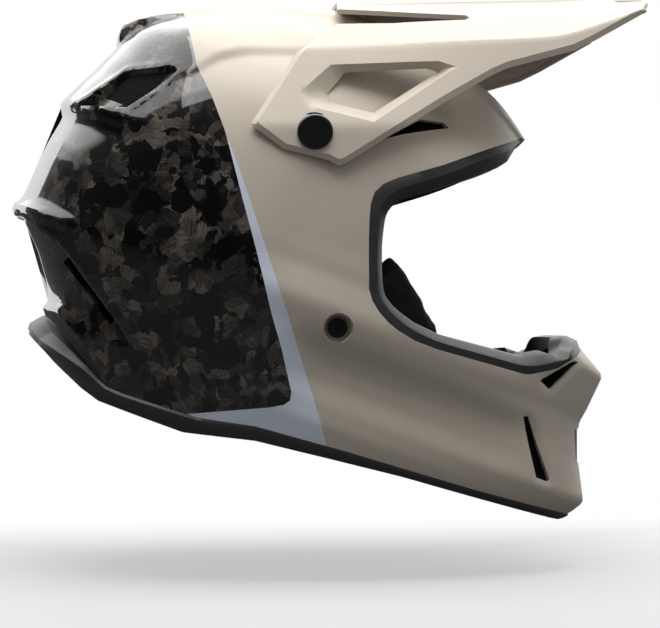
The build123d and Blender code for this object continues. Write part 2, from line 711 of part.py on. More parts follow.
# Strap sleeves and the snap that holds the free end down
with BuildPart() as strap_sleeves:
    for side in sides:
        middle_line = [strap_point(side * along, 0) for along in sleeve_stations]
        add(ribbon(middle_line, bolt_x, sleeve_width, sleeve_height))
        add(ribbon(middle_line, bolt_x, strap_width + 2 * fit_gap, 3 * webbing), mode=Mode.SUBTRACT)
save(strap_sleeves.part, "strap_sleeves")
snap_ends = [Vector(bolt_x, *strap_point(along, skin + webbing / 2)) for along in snap_stations]
snap_run = snap_ends[0] - snap_ends[1]
snap_middle = (snap_ends[0] + snap_ends[1]) / 2
snap_up = Vector(1, 0, 0).cross(snap_run)
with BuildPart() as strap_snap:
    with BuildSketch(Plane(origin=snap_middle, x_dir=(1, 0, 0), z_dir=snap_up)):
        Circle(snap_radius)
    extrude(amount=snap_height)
    chamfer(strap_snap.faces().sort_by(Axis.Z)[-1].edges(), snap_height / 3)
save(strap_snap.part, "strap_snap")

# Visor: one moulded arch, cut to its side outline, with windows, top slots and pivot holes
with BuildPart() as visor:
    for place, *row in visor_row_shares:
        right = [(-y, z) for y, z in sized(row)]
        outside = right + [(-y, z) for y, z in reversed(right[:-1])]
        with BuildSketch(Plane.YZ.offset(head_length * place)):
            with BuildLine():
                Polyline(*outside, *reversed(parallel(outside, -visor_wall)), close=True)
            make_face()
    loft(ruled=True)
    add(prism(visor_side_shares), mode=Mode.INTERSECT)
    with BuildSketch(Plane.XY):
        with BuildLine():
            plan = sized(visor_front_shares)
            Polyline(*plan, *[(x, -y) for x, y in reversed(plan[:-1])], close=True)
        make_face()
    extrude(amount=cut_reach, mode=Mode.INTERSECT)
    add(prism(visor_window_shares), mode=Mode.SUBTRACT)
    for flip in sides:
        with BuildSketch(Plane.XY.offset(head_length / 2)):
            with BuildLine():
                Polyline(*[(x, flip * y) for x, y in sized(visor_slot_shares)], close=True)
            make_face()
        extrude(amount=head_length, mode=Mode.SUBTRACT)
    arm_inner = pivot_face - visor_wall
    add([across(pivot_x, pivot_z, seat_radius, arm_inner, pivot_face, side) for side in sides])
    holes = [across(pivot_x, pivot_z, seat_radius - pivot_step, 0, arm_inner, side) for side in sides]
    cap_room = cap_radius + pivot_step
    holes += [across(pivot_x, pivot_z, cap_room, pivot_face, cut_reach, side) for side in sides]
    holes += [across(pivot_x, pivot_z, bolt_radius + turn_clearance, 0, cut_reach, side) for side in sides]
    for cut in holes:
        add(cut, mode=Mode.SUBTRACT)
save(visor.part, "visor")

# Visor pivots: a spacer washer, a nut behind the skin and a capped screw on each side
with BuildPart() as visor_washers:
    for side in sides:
        add(across(pivot_x, pivot_z, washer_radius, visor_seat, arm_inner - fit_gap, side))
        add(across(pivot_x, pivot_z, bolt_radius + head_clearance, 0, cut_reach, side), mode=Mode.SUBTRACT)
save(visor_washers.part, "visor_washers")
with BuildPart() as visor_nuts:
    for side in sides:
        top = seat_back - nut_drop
        add(across(pivot_x, pivot_z, visor_nut_radius, top - visor_nut_height, top, side))
        add(across(pivot_x, pivot_z, bolt_radius + turn_clearance, 0, cut_reach, side), mode=Mode.SUBTRACT)
save(visor_nuts.part, "visor_nuts")
screw_seat = pivot_face + turn_clearance
for side, name in zip(sides, ("right", "left")):
    with BuildPart() as visor_screw:
        add(across(pivot_x, pivot_z, cap_radius, screw_seat, pivot_face + cap_height, side))
        chamfer(visor_screw.faces().sort_by(Axis.Y)[0 if side < 0 else -1].edges(), cap_edge)
        add(across(pivot_x, pivot_z, bolt_radius, screw_seat - screw_length, screw_seat, side))
    save(visor_screw.part, f"visor_screw_{name}")
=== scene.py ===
"""Downhill full face helmet: shell, peak, trims, foams, pads and strap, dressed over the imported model.

+X is the front, +Y the wearer's left, +Z up. Lengths are worked out in millimetres and become
metres when a mesh is made.
"""
import json
from math import cos, hypot, pi, radians, sin

import bmesh
import bpy
import numpy as np
from mathutils import Matrix, Vector
from mathutils.geometry import delaunay_2d_cdt


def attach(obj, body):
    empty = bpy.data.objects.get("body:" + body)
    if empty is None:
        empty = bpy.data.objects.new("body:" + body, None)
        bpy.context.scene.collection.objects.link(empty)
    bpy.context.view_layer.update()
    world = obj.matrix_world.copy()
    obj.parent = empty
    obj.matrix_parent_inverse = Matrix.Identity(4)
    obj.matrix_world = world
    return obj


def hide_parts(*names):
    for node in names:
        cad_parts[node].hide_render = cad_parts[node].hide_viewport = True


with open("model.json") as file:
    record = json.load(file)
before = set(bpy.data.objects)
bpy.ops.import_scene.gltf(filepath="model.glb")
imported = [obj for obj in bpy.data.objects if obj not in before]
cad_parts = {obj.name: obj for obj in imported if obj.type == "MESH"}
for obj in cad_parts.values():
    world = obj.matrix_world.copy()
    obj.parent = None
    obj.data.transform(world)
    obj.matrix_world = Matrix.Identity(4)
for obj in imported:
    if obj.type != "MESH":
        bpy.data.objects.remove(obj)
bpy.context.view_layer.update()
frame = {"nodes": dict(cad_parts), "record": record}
nodes = frame["nodes"]

# Studio: a long lens level with the helmet, five degrees off the side view, a pale floor that
# keeps the soft shadow, a white background and one large soft lamp overhead. Reflections see a strip
# of light behind the helmet and a bank above it, which give the lacquer its light edge and top.
MM = 0.001
image_width = 660
image_centre = (330, 314)
origin_pixel = (280, 260)
pixel_size = 0.57
camera_distance = 1400.0
camera_yaw = radians(5)
floor_level = -176.0
floor_reach = 4000.0
floor_fade = (0.08, 0.36)
lamp_size = 900.0
lamp_power = 11.3
lamp_place = (-40, -230, 900)
strip_edge = (0.66, 0.69)
strip_light = (3.6, 0.8)
bank_direction = (-0.08, 0.35, 1.0)
bank_edge = (0.66, 0.70)
bank_light = 3.2
unlit = 0.03


def linear(colour):
    """sRGB hex colour as linear red, green, blue and alpha."""
    parts = [int(colour[place:place + 2], 16) / 255 for place in (1, 3, 5)]
    return [part / 12.92 if part <= 0.04045 else ((part + 0.055) / 1.055) ** 2.4 for part in parts] + [1.0]


def add_node(tree, kind, links=None, values=None, **settings):
    """Add one node with its settings, its socket values and the links into it."""
    made = tree.nodes.new(kind)
    for name, value in settings.items():
        setattr(made, name, value)
    for name, value in (values or {}).items():
        made.inputs[name].default_value = value
    for name, source in (links or {}).items():
        tree.links.new(source, made.inputs[name])
    return made


ahead = Vector((sin(camera_yaw), cos(camera_yaw), 0))
right = Vector((cos(camera_yaw), -sin(camera_yaw), 0))
up = Vector((0, 0, 1))
camera = bpy.data.objects.new("camera", bpy.data.cameras.new("camera"))
bpy.context.scene.collection.objects.link(camera)
camera.data.sensor_width = 36
camera.data.lens = camera.data.sensor_width * camera_distance / pixel_size / image_width
camera.data.clip_end = 20
offset = [pixel_size * (centre - origin) for centre, origin in zip(image_centre, origin_pixel)]
camera.matrix_world = Matrix((right, up, -ahead)).transposed().to_4x4()
camera.location = MM * (-camera_distance * ahead + offset[0] * right - offset[1] * up)
bpy.context.scene.camera = camera
bpy.context.scene.view_settings.view_transform = "Standard"

world = bpy.data.worlds.new("studio")
bpy.context.scene.world = world
world.use_nodes = True
tree = world.node_tree
tree.nodes.clear()
rays = add_node(tree, "ShaderNodeLightPath")
place = add_node(tree, "ShaderNodeTexCoord")
split = add_node(tree, "ShaderNodeSeparateXYZ", {0: place.outputs["Generated"]})
strip = add_node(tree, "ShaderNodeMapRange", {0: split.outputs["Y"]},
                 {1: strip_edge[0], 2: strip_edge[1], 3: 0.0, 4: 1.0})
falling = add_node(tree, "ShaderNodeMapRange", {0: split.outputs["Y"]},
                   {1: strip_edge[1], 2: 1.0, 3: strip_light[0], 4: strip_light[1]})
behind = add_node(tree, "ShaderNodeMath", {0: strip.outputs[0], 1: falling.outputs[0]}, operation="MULTIPLY")
upward = add_node(tree, "ShaderNodeVectorMath", {0: place.outputs["Generated"]}, {1: bank_direction},
                  operation="DOT_PRODUCT")
overhead = add_node(tree, "ShaderNodeMapRange", {0: upward.outputs["Value"]},
                    {1: bank_edge[0], 2: bank_edge[1], 3: unlit, 4: bank_light})
above = add_node(tree, "ShaderNodeMapRange", {0: split.outputs["Z"]}, {1: -0.30, 2: 0.60, 3: 0.05, 4: 0.36})
in_front = add_node(tree, "ShaderNodeMapRange", {0: split.outputs["X"]}, {1: 0.10, 2: 0.80, 3: 0.0, 4: 0.38})
soft = add_node(tree, "ShaderNodeMath", {0: above.outputs[0], 1: in_front.outputs[0]}, operation="ADD")
seen = add_node(tree, "ShaderNodeMath", {0: behind.outputs[0], 1: overhead.outputs[0]}, operation="MAXIMUM")
shiny, clear = rays.outputs["Is Glossy Ray"], rays.outputs["Is Transmission Ray"]
mirrored = add_node(tree, "ShaderNodeMath", {0: shiny, 1: clear}, operation="MAXIMUM")
level = add_node(tree, "ShaderNodeMix", {0: mirrored.outputs[0], 2: soft.outputs[0], 3: seen.outputs[0]})
white = add_node(tree, "ShaderNodeMix", {0: rays.outputs["Is Camera Ray"], 2: level.outputs[0]}, {3: 1.0})
glow = add_node(tree, "ShaderNodeBackground", {"Strength": white.outputs[0]}, {"Color": (1, 1, 1, 1)})
add_node(tree, "ShaderNodeOutputWorld", {"Surface": glow.outputs[0]})

lamp = bpy.data.objects.new("overhead_lamp", bpy.data.lights.new("overhead_lamp", "AREA"))
bpy.context.scene.collection.objects.link(lamp)
lamp.data.shape = "RECTANGLE"
lamp.data.size = MM * lamp_size
lamp.data.size_y = MM * lamp_size
lamp.data.energy = lamp_power
lamp.location = MM * Vector(lamp_place)
lamp.rotation_euler = (-lamp.location).to_track_quat("-Z", "Y").to_euler()

floor_mesh = bpy.data.meshes.new("floor")
corners = ((-1, -1), (1, -1), (1, 1), (-1, 1))
floor_mesh.from_pydata([MM * Vector((x * floor_reach, y * floor_reach, floor_level)) for x, y in corners],
                       [], [(0, 1, 2, 3)])
floor = bpy.data.objects.new("floor", floor_mesh)
bpy.context.scene.collection.objects.link(floor)
paper = bpy.data.materials.new("studio_paper")
paper.use_nodes = True
tree = paper.node_tree
tree.nodes.clear()
rays = add_node(tree, "ShaderNodeLightPath")
place = add_node(tree, "ShaderNodeTexCoord")
split = add_node(tree, "ShaderNodeSeparateXYZ", {0: place.outputs["Object"]})
aside = add_node(tree, "ShaderNodeMath", {0: split.outputs["X"]}, operation="ABSOLUTE")
nearer = add_node(tree, "ShaderNodeMath", {0: aside.outputs[0]}, {1: 0.9}, operation="MULTIPLY")
far = add_node(tree, "ShaderNodeMath", {0: nearer.outputs[0], 1: split.outputs["Y"]}, operation="MAXIMUM")
fade = add_node(tree, "ShaderNodeMapRange", {0: far.outputs[0]},
                {1: floor_fade[0], 2: floor_fade[1], 3: 0.5, 4: 1.0}, interpolation_type="SMOOTHSTEP")
shade = add_node(tree, "ShaderNodeMix", {"Factor": rays.outputs["Is Camera Ray"]}, data_type="RGBA")
shade.inputs[6].default_value = linear("#6c6c6c")
shade.inputs[7].default_value = linear("#c6c6c6")
matt = add_node(tree, "ShaderNodeBsdfDiffuse", {"Color": shade.outputs[2]})
light = add_node(tree, "ShaderNodeEmission", values={"Strength": 1.0})
faded = add_node(tree, "ShaderNodeMath", {0: fade.outputs[0], 1: rays.outputs["Is Camera Ray"]},
                 operation="MULTIPLY")
mixed = add_node(tree, "ShaderNodeMixShader", {0: faded.outputs[0], 1: matt.outputs[0], 2: light.outputs[0]})
add_node(tree, "ShaderNodeOutputMaterial", {"Surface": mixed.outputs[0]})
floor_mesh.materials.append(paper)

# Outer shell: a moulded composite skin 2.6 mm thick, clear-coated forged carbon at the rear and matte
# sand paint at the front, with a blue stripe between them. Pressed creases, vents and a recessed
# rear panel. The rows of its lines plan lean forward by 20.8 degrees, like those of the solid.
head_length = 200.0
lean = radians(20.8)
shell_wall = 2.6
shell_rows = np.array((
    (-0.600, 0.430, 0.850, 0.470, 0.080, 2.30, 1.90, 0.0),
    (-0.375, 0.575, 1.040, 0.542, 0.055, 2.30, 1.85, 0.0),
    (-0.340, 0.592, 1.062, 0.552, 0.050, 2.30, 1.85, 0.3),
    (-0.235, 0.670, 1.005, 0.574, 0.030, 2.30, 1.85, 1.0),
    (-0.172, 0.735, 0.980, 0.586, 0.010, 2.30, 1.85, 0.5),
    (-0.130, 0.760, 0.968, 0.594, 0.000, 2.30, 1.85, 0.2),
    (-0.095, 0.752, 0.975, 0.598, -0.010, 2.30, 1.85, 0.0),
    (0.020, 0.738, 0.985, 0.600, -0.020, 2.30, 1.85, 0.0),
    (0.068, 0.736, 0.890, 0.598, -0.024, 2.30, 1.90, 0.0),
    (0.190, 0.722, 0.830, 0.588, -0.035, 2.30, 2.00, 0.0),
    (0.340, 0.676, 0.780, 0.556, -0.050, 2.25, 2.10, 0.0),
    (0.470, 0.605, 0.650, 0.488, -0.055, 2.20, 2.15, 0.0),
    (0.580, 0.478, 0.522, 0.384, -0.040, 2.15, 2.15, 0.0),
    (0.650, 0.335, 0.415, 0.280, -0.010, 2.10, 2.10, 0.0),
    (0.700, 0.195, 0.262, 0.184, 0.000, 2.05, 2.00, 0.0),
    (0.726, 0.075, 0.130, 0.095, 0.015, 2.00, 2.00, 0.0),
    (0.731, -0.027, 0.027, 0.000, 0.027, 2.00, 2.00, 0.0),
))
smooth_from = 8
corner_round = 3.2
jaw_hollow = 9.0
hollow_levels = (-78, -67, -57, -47, -41, -34, -30, -24)
hollow_parts = (0, 0.32, 0.82, 1.0, 0.9, 0.22, 0.06, 0)
hollow_start = (4.0, 40.0)
hollow_end = (140.0, 186.0)
bolt_place = (22.7, -38.1)
bolt_recess = 6.2
recess_slope = 1.8
bolt_seat = 110.2
panel_sink, panel_slope, panel_rim = 4.4, 2.2, 0.9
rear_sink, rear_slope, rear_rim = 5.0, 2.0, 0.8
vent_dish, vent_slope = 0.9, 2.6
crown_low, crown_dip, band_edge = 2.6, 0.9, 5.0
column_scale = 130.0
grid_step = 2.6
edge_step = 1.6
least_gap_share = 0.42

# Pressed features: the crown band's half width and the heights that stand off the smooth skin, at
# levels along the leaning rows, and the height of the shoulder crease at places along the helmet
band_widths = ((70, 17), (90, 20), (110, 31), (135, 38))
shoulder_line = ((-110, 66), (-49, 99), (-39.5, 105), (-26, 108.5), (4, 110), (60, 108))
fin_heights = (
    (70, -1.1), (78, -1.1), (83, 4.0), (87, 6.4), (97, 3.4), (108, -0.6), (118, -1.4), (130, -1.2),
)
flare_heights = ((-34, 0), (-29, 0.5), (-21, 1.5), (-17, 1.3), (-3, -1.9), (12, -2.3), (45, -1.9), (75, 0))
lip_heights = (
    (4, 0), (27, -1.6), (32, -1.3), (33.5, 2.4), (38, 3.0), (42, 1.8), (60, -1.2), (74, -1.5), (90, 0),
)
wing_heights = ((-33, 0), (-30, -0.3), (-27, 0.8), (-24.5, 0.6), (-21, -1.4), (-14, -1.5), (4, 0))

# Side outlines as shares of the head length, x then z
port_shares = (
    (0.900, 0.352), (0.690, 0.350), (0.406, 0.244), (0.275, 0.206), (0.238, 0.190), (0.214, 0.168),
    (0.203, 0.137), (0.199, 0.090), (0.198, 0.042), (0.198, -0.090), (0.206, -0.120), (0.224, -0.150),
    (0.246, -0.175), (0.275, -0.198), (0.320, -0.224), (0.379, -0.246), (0.640, -0.3175), (0.662, -0.3185),
    (0.745, -0.305), (0.854, -0.249), (1.150, -0.246),
)
lower_edge_shares = (
    (-0.900, -0.130), (-0.670, -0.155), (-0.660, -0.172), (-0.640, -0.205), (-0.590, -0.250),
    (-0.545, -0.292), (-0.515, -0.325), (-0.490, -0.347), (-0.450, -0.364), (-0.250, -0.428),
    (-0.100, -0.450), (0.140, -0.518), (0.500, -0.630), (0.830, -0.727), (1.150, -0.800),
)
brow_vent_shares = (
    (0.211, 0.294), (0.349, 0.370), (0.418, 0.366), (0.432, 0.350), (0.298, 0.326), (0.248, 0.312),
)
rear_hollow_shares = (
    (-0.572, 0.405), (-0.540, 0.424), (-0.440, 0.507), (-0.322, 0.512), (-0.301, 0.494), (-0.432, 0.392),
    (-0.487, 0.396),
)
rear_slot_shares = ((-0.478, 0.402), (-0.336, 0.502), (-0.318, 0.502), (-0.310, 0.493), (-0.432, 0.400))
rear_panel_shares = (
    (-1.050, 0.195), (-0.724, 0.114), (-0.640, 0.046), (-0.619, 0.033), (-0.601, 0.012), (-0.430, -0.222),
    (-0.421, -0.237), (-0.545, -0.222), (-0.620, -0.140), (-1.050, -0.060),
)
rear_slit_shares = ((-0.625, -0.020), (-0.600, 0.000), (-0.470, -0.165), (-0.492, -0.185))
chin_gill_shares = (
    (0.694, -0.338), (0.700, -0.333), (0.806, -0.281), (0.818, -0.288), (0.731, -0.362), (0.723, -0.362),
)
chin_slot_shares = ((0.647, -0.437), (0.661, -0.435), (0.734, -0.612), (0.728, -0.619), (0.690, -0.604))
paint_shares = (
    (-0.290, 0.760), (-0.2815, 0.696), (-0.2505, 0.5025), (-0.2145, 0.420), (-0.181, 0.325),
    (-0.139, 0.154), (-0.100, 0.006), (-0.0615, -0.153), (-0.0345, -0.2425), (-0.006, -0.360),
    (-0.010, -0.382), (-0.026, -0.393), (-0.065, -0.400), (-0.197, -0.411), (-0.300, -0.420),
    (-0.400, -0.600),
)
stripe_shares = (
    (-0.239, 0.470), (-0.150, 0.240), (-0.0485, -0.067), (0.0125, -0.250), (0.067, -0.421), (0.110, -0.580),
)
mouth_vent_shares = ((-0.130, -0.480), (-0.105, -0.580), (0.105, -0.580), (0.130, -0.480))


def ramp(value, start, end):
    """Rise smoothly from 0 at the start to 1 at the end."""
    share = np.clip((np.asarray(value, float) - start) / (end - start), 0, 1)
    return share * share * (3 - 2 * share)


def through_rows(places, rows, at):
    """Smooth monotone curve through the rows of a table."""
    step = np.diff(places)
    slope = np.diff(rows, axis=0) / step[:, None]
    bend = np.zeros_like(rows)
    along = slope[:-1] * slope[1:] > 0
    total = np.where(along, slope[:-1] + slope[1:], 1)
    bend[1:-1] = np.where(along, 2 * slope[:-1] * slope[1:] / total, 0)
    bend[0], bend[-1] = slope[0], slope[-1]
    row = np.clip(np.searchsorted(places, at, side="right") - 1, 0, len(step) - 1)
    t = ((at - places[row]) / step[row])[:, None]
    h = step[row][:, None]
    return (rows[row] * (1 + 2 * t) * (1 - t) ** 2 + bend[row] * h * t * (1 - t) ** 2
            + rows[row + 1] * t * t * (3 - 2 * t) - bend[row + 1] * h * t * t * (1 - t))


def run_length(line):
    """Distance along a line at each of its points."""
    return np.concatenate(([0], np.cumsum(np.hypot(*np.diff(line, axis=0).T))))


row_places = head_length * run_length(shell_rows[:, [0, 3]])
fine_places = np.linspace(0, row_places[-1], 1600)
fine_rows = through_rows(row_places, shell_rows, fine_places)
ruled = np.stack([np.interp(fine_places, row_places, shell_rows[:, item]) for item in range(8)], 1)
fine_rows = np.where((fine_places < row_places[smooth_from])[:, None], ruled, fine_rows)
spread = int(corner_round / (fine_places[1] - fine_places[0]))
kernel = np.bartlett(2 * spread + 1)
kernel /= kernel.sum()
padded = np.pad(fine_rows, ((spread, spread), (0, 0)), "edge")
rounded = np.stack([np.convolve(padded[:, item], kernel, "valid") for item in range(8)], 1)
near_top = ramp(fine_places, row_places[-3], row_places[-2])[:, None]
fine_rows = rounded * (1 - near_top) + fine_rows * near_top
fine_rows[:, :5] *= head_length
fine_rows[:, 7] = np.interp(fine_rows[:, 0], hollow_levels, hollow_parts)


def row_at(place):
    """Sizes of the outline at places along the rows."""
    return [np.interp(place, fine_places, fine_rows[:, item]) for item in range(8)]


def skin(turn, place):
    """Points of the right half of the smooth skin, in millimetres."""
    level, rear, front, half, widest, rear_power, front_power, hollow = row_at(place)
    front_side = np.cos(turn) >= 0
    power = np.where(front_side, front_power, rear_power)
    reach = np.where(front_side, front - widest, rear + widest)
    along = widest + reach * np.sign(np.cos(turn)) * np.abs(np.cos(turn)) ** (2 / power)
    dip = jaw_hollow * hollow * ramp(along, *hollow_start) * (1 - ramp(along, *hollow_end))
    side = (half - dip) * np.clip(np.sin(turn), 0, 1) ** (2 / power)
    x = along * cos(lean) + level * sin(lean)
    return np.stack([x, -side, level * cos(lean) - along * sin(lean)], -1)


def side_share(x, z):
    """Place along the rows and share of the reach, from -1 at the rear to 1 at the front."""
    along = x * cos(lean) - z * sin(lean)
    place = np.interp(x * sin(lean) + z * cos(lean), fine_rows[:, 0], fine_places)
    level, rear, front, half, widest, rear_power, front_power, hollow = row_at(place)
    reach = np.where(along >= widest, front - widest, rear + widest)
    return place, (along - widest) / reach, np.where(along >= widest, front_power, rear_power)


def evenly(line, count):
    """The same line with a fixed number of points at even distances."""
    length = run_length(line)
    stops = np.linspace(0, length[-1], count)
    return np.stack([np.interp(stops, length, line[:, 0]), np.interp(stops, length, line[:, 1])], 1)


def trace(shares, closed=False, step=edge_step):
    """Side outline in the flat (column, place) domain, cut where it leaves the silhouette."""
    points = head_length * np.array(shares)
    if closed:
        points = np.vstack([points, points[:1]])
    flat = []
    for start, end in zip(points[:-1], points[1:]):
        count = max(2, int(np.hypot(*(end - start)) / 0.1))
        run = start + (end - start) * np.linspace(0, 1, count)[:, None]
        place, share, power = side_share(run[:, 0], run[:, 1])
        keep = np.abs(share) <= 1
        if not keep.any():
            continue
        turn = np.arccos(np.sign(share) * np.abs(np.clip(share, -1, 1)) ** (power / 2))
        run = np.stack([column_scale * turn, place], 1)[keep]
        if not keep[-1]:
            run = np.vstack([run, [column_scale * (0 if share[keep][-1] > 0 else pi), run[-1, 1]]])
        if not keep[0]:
            run = np.vstack([[column_scale * (0 if share[keep][0] > 0 else pi), run[0, 1]], run])
        run = evenly(run, max(2, int(round(run_length(run)[-1] / step)) + 1))
        flat.append(run if not flat else run[1:])
    flat = np.vstack(flat)
    return flat[:-1] if closed else flat


def inside(points, outline):
    """Which points lie inside a closed flat outline."""
    x, y = points[:, 0], points[:, 1]
    hit = np.zeros(len(points), bool)
    for (ax, ay), (bx, by) in zip(outline, np.roll(outline, -1, axis=0)):
        crosses = (ay > y) != (by > y)
        hit ^= crosses & (x < (bx - ax) * (y - ay) / np.where(by == ay, 1, by - ay) + ax)
    return hit


def depth_in(points, outline):
    """Distance to a closed outline, positive inside it."""
    best = np.full(len(points), 1e9)
    for a, b in zip(outline, np.roll(outline, -1, axis=0)):
        run = b - a
        share = np.clip(((points - a) @ run) / max(run @ run, 1e-12), 0, 1)
        best = np.minimum(best, np.hypot(*(points - a - share[:, None] * run).T))
    return np.where(inside(points, outline), best, -best)


def drawn_in(shares, distance):
    """Closed outline of shares moved inwards by a distance in millimetres, with mitred corners."""
    points = np.array(shares)
    after_x, after_y = np.roll(points, -1, axis=0).T
    turning = np.sign(np.sum(points[:, 0] * after_y - after_x * points[:, 1]))
    moved = []
    for before, here, after in zip(np.roll(points, 1, axis=0), points, np.roll(points, -1, axis=0)):
        normals = []
        for run in (here - before, after - here):
            run = run / np.hypot(*run)
            normals.append(turning * np.array((-run[1], run[0])))
        middle = normals[0] + normals[1]
        moved.append(here + distance / head_length * middle / max(1 + normals[0] @ normals[1], 0.35))
    return np.array(moved)


def read(table, at):
    """Values of a table of pairs at places along it."""
    return np.interp(at, *zip(*table))


def crown_band(y, level, along):
    """Height of the raised centre band of the crown, which ends at the rear in a small fin."""
    height = np.where(along < 0, read(fin_heights, level), -crown_dip * ramp(level, 96, 112))
    low = -crown_low * ramp(level, 88, 112)
    width = read(band_widths, level)
    return low + (height - low) * (1 - ramp(np.abs(y), width, width + band_edge))


def relief(points):
    """How far the pressed features stand off the smooth skin."""
    x, y, z = points.T
    level = x * sin(lean) + z * cos(lean)
    along = x * cos(lean) - z * sin(lean)
    out = crown_band(y, level, along)
    shoulder = ramp(z - read(shoulder_line, x), -3.0, 3.0) * ramp(x, -75, -52)
    out += crown_low * shoulder * (1 - ramp(z, 118, 134)) * ramp(level, 60, 90)
    out += read(flare_heights, level) * ramp(along, -28, 6) * (1 - ramp(along, 120, 160))
    out += (1 - ramp(along, -112, -84)) * read(lip_heights, level)
    out += (1 - ramp(along, -130, -100)) * read(wing_heights, level)
    panel, hollow, *edges = [depth_in(points[:, [0, 2]], head_length * np.array(shares)) for shares in (
        rear_panel_shares, rear_hollow_shares, brow_vent_shares, chin_gill_shares, chin_slot_shares)]
    out -= panel_sink * ramp(panel, 0, panel_slope) * ramp(level, -82, -58)
    out += panel_rim * ramp(panel, -5.0, -0.6) * (1 - ramp(panel, -0.6, 0.2)) * (1 - ramp(level, -32, -24))
    out -= rear_sink * ramp(hollow, 0, rear_slope)
    out += rear_rim * ramp(hollow, -4.0, -0.4) * (1 - ramp(hollow, -0.4, 0.2))
    for edge in edges:
        out -= vent_dish * ramp(edge, -vent_slope, 0.0)
    return out


def dressed(turn, place):
    """Points of the right half of the finished skin, and its outward directions."""
    points = skin(turn, place)
    nudge = 0.002
    by_turn = skin(np.clip(turn + nudge, 0, pi), place) - skin(np.clip(turn - nudge, 0, pi), place)
    by_place = skin(turn, place + 0.2) - skin(turn, np.maximum(place - 0.2, 0))
    normal = np.cross(by_turn, by_place)
    size = np.linalg.norm(normal, axis=1)[:, None]
    normal = np.where(size > 1e-9, normal / np.maximum(size, 1e-9), (sin(lean), 0, cos(lean)))
    outward = np.sum(normal * (points - np.array((0, 0, -20))), 1)[:, None] > 0
    normal = np.where(outward, normal, -normal)
    middle = (turn < 1e-6) | (turn > pi - 1e-6)
    normal[middle, 1] = 0
    points = points + relief(points)[:, None] * normal
    from_bolt = np.hypot(points[:, 0] - bolt_place[0], points[:, 2] - bolt_place[1])
    sunk = 1 - ramp(from_bolt, bolt_recess, bolt_recess + recess_slope)
    points[:, 1] += sunk * np.maximum(-bolt_seat - points[:, 1], 0) * (points[:, 1] < 0)
    points[middle, 1] = 0
    return points, normal


def front_outline(shares, step=1.2):
    """Outline seen from the front (y, z) in the flat domain, for the right half."""
    flat = []
    points = [np.array(point) * head_length for point in shares]
    for start, end in zip(points, points[1:] + points[:1]):
        count = max(2, int(np.hypot(*(end - start)) / step))
        flat.append(start + (end - start) * np.linspace(0, 1, count + 1)[:-1, None])
    run = np.vstack(flat)
    run = run[run[:, 0] <= 1e-9]
    x = np.full(len(run), 170.0)
    for _ in range(12):
        place = np.interp(x * sin(lean) + run[:, 1] * cos(lean), fine_rows[:, 0], fine_places)
        level, rear, front, half, widest, rear_power, front_power, hollow = row_at(place)
        sine = np.clip(-run[:, 0] / half, 0, 1) ** (front_power / 2)
        turn = np.arcsin(sine)
        x = skin(turn, place)[:, 0]
    return np.stack([column_scale * turn, place], 1)


wide = column_scale * pi
port_flat = trace(port_shares)
port_flat[0, 0], port_flat[-1, 0] = 0, 0
edge_flat = trace(lower_edge_shares)
edge_flat[0, 0], edge_flat[-1, 0] = wide, 0
mouth_flat = front_outline(mouth_vent_shares)
mouth_flat = np.vstack([[0, mouth_flat[0, 1]], mouth_flat, [0, mouth_flat[-1, 1]]])
crease_lines = [trace(shares, True) for shares in (
    rear_hollow_shares, drawn_in(rear_hollow_shares, rear_slope))]
crease_lines = [np.vstack([line, line[:1]]) for line in crease_lines]
crease_lines += [trace(rear_panel_shares), trace(drawn_in(rear_panel_shares, panel_slope))]
crease_lines += [trace(paint_shares[:-1]), trace(stripe_shares)]
ring_turns = np.linspace(0, 2 * pi, 49)[:-1]
for radius in (bolt_recess, bolt_recess + recess_slope):
    ring = np.array(bolt_place) + radius * np.stack([np.cos(ring_turns), np.sin(ring_turns)], 1)
    ring = trace(ring / head_length, True, 1.0)
    crease_lines.append(np.vstack([ring, ring[:1]]))


def cut_sheet(area, holes, lines, step):
    """Flat triangles of an area with holes, whose edges follow the drawn lines."""
    spots, edges = [], []
    for line, closed in [(loop, True) for loop in (area, *holes)] + [(line, False) for line in lines]:
        first = len(spots)
        spots += [tuple(spot) for spot in line]
        edges += [(first + index, first + index + 1) for index in range(len(line) - 1)]
        if closed:
            edges.append((first + len(line) - 1, first))
    near = {}
    for x, y in spots:
        near.setdefault((int(x // step), int(y // step)), []).append((x, y))
    low, high = area.min(0), area.max(0)
    grid = np.stack(np.meshgrid(np.linspace(low[0], high[0], int((high[0] - low[0]) / step) + 1),
                                np.arange(low[1], high[1], step)), -1).reshape(-1, 2)
    grid = grid[inside(grid, area)]
    for hole in holes:
        grid = grid[~inside(grid, hole)]
    for x, y in grid:
        column, row = int(x // step), int(y // step)
        if not any(hypot(x - a, y - b) < least_gap_share * step for i in (-1, 0, 1) for j in (-1, 0, 1)
                   for a, b in near.get((column + i, row + j), ())):
            spots.append((x, y))
    made = delaunay_2d_cdt([Vector(spot) for spot in spots], edges, [], 0, 1e-4)
    flat = np.array([tuple(spot) for spot in made[0]])
    faces = np.array(made[2])
    middles = flat[faces].mean(1)
    keep = inside(middles, area)
    for hole in holes:
        keep &= ~inside(middles, hole)
    return flat, faces[keep], middles[keep]


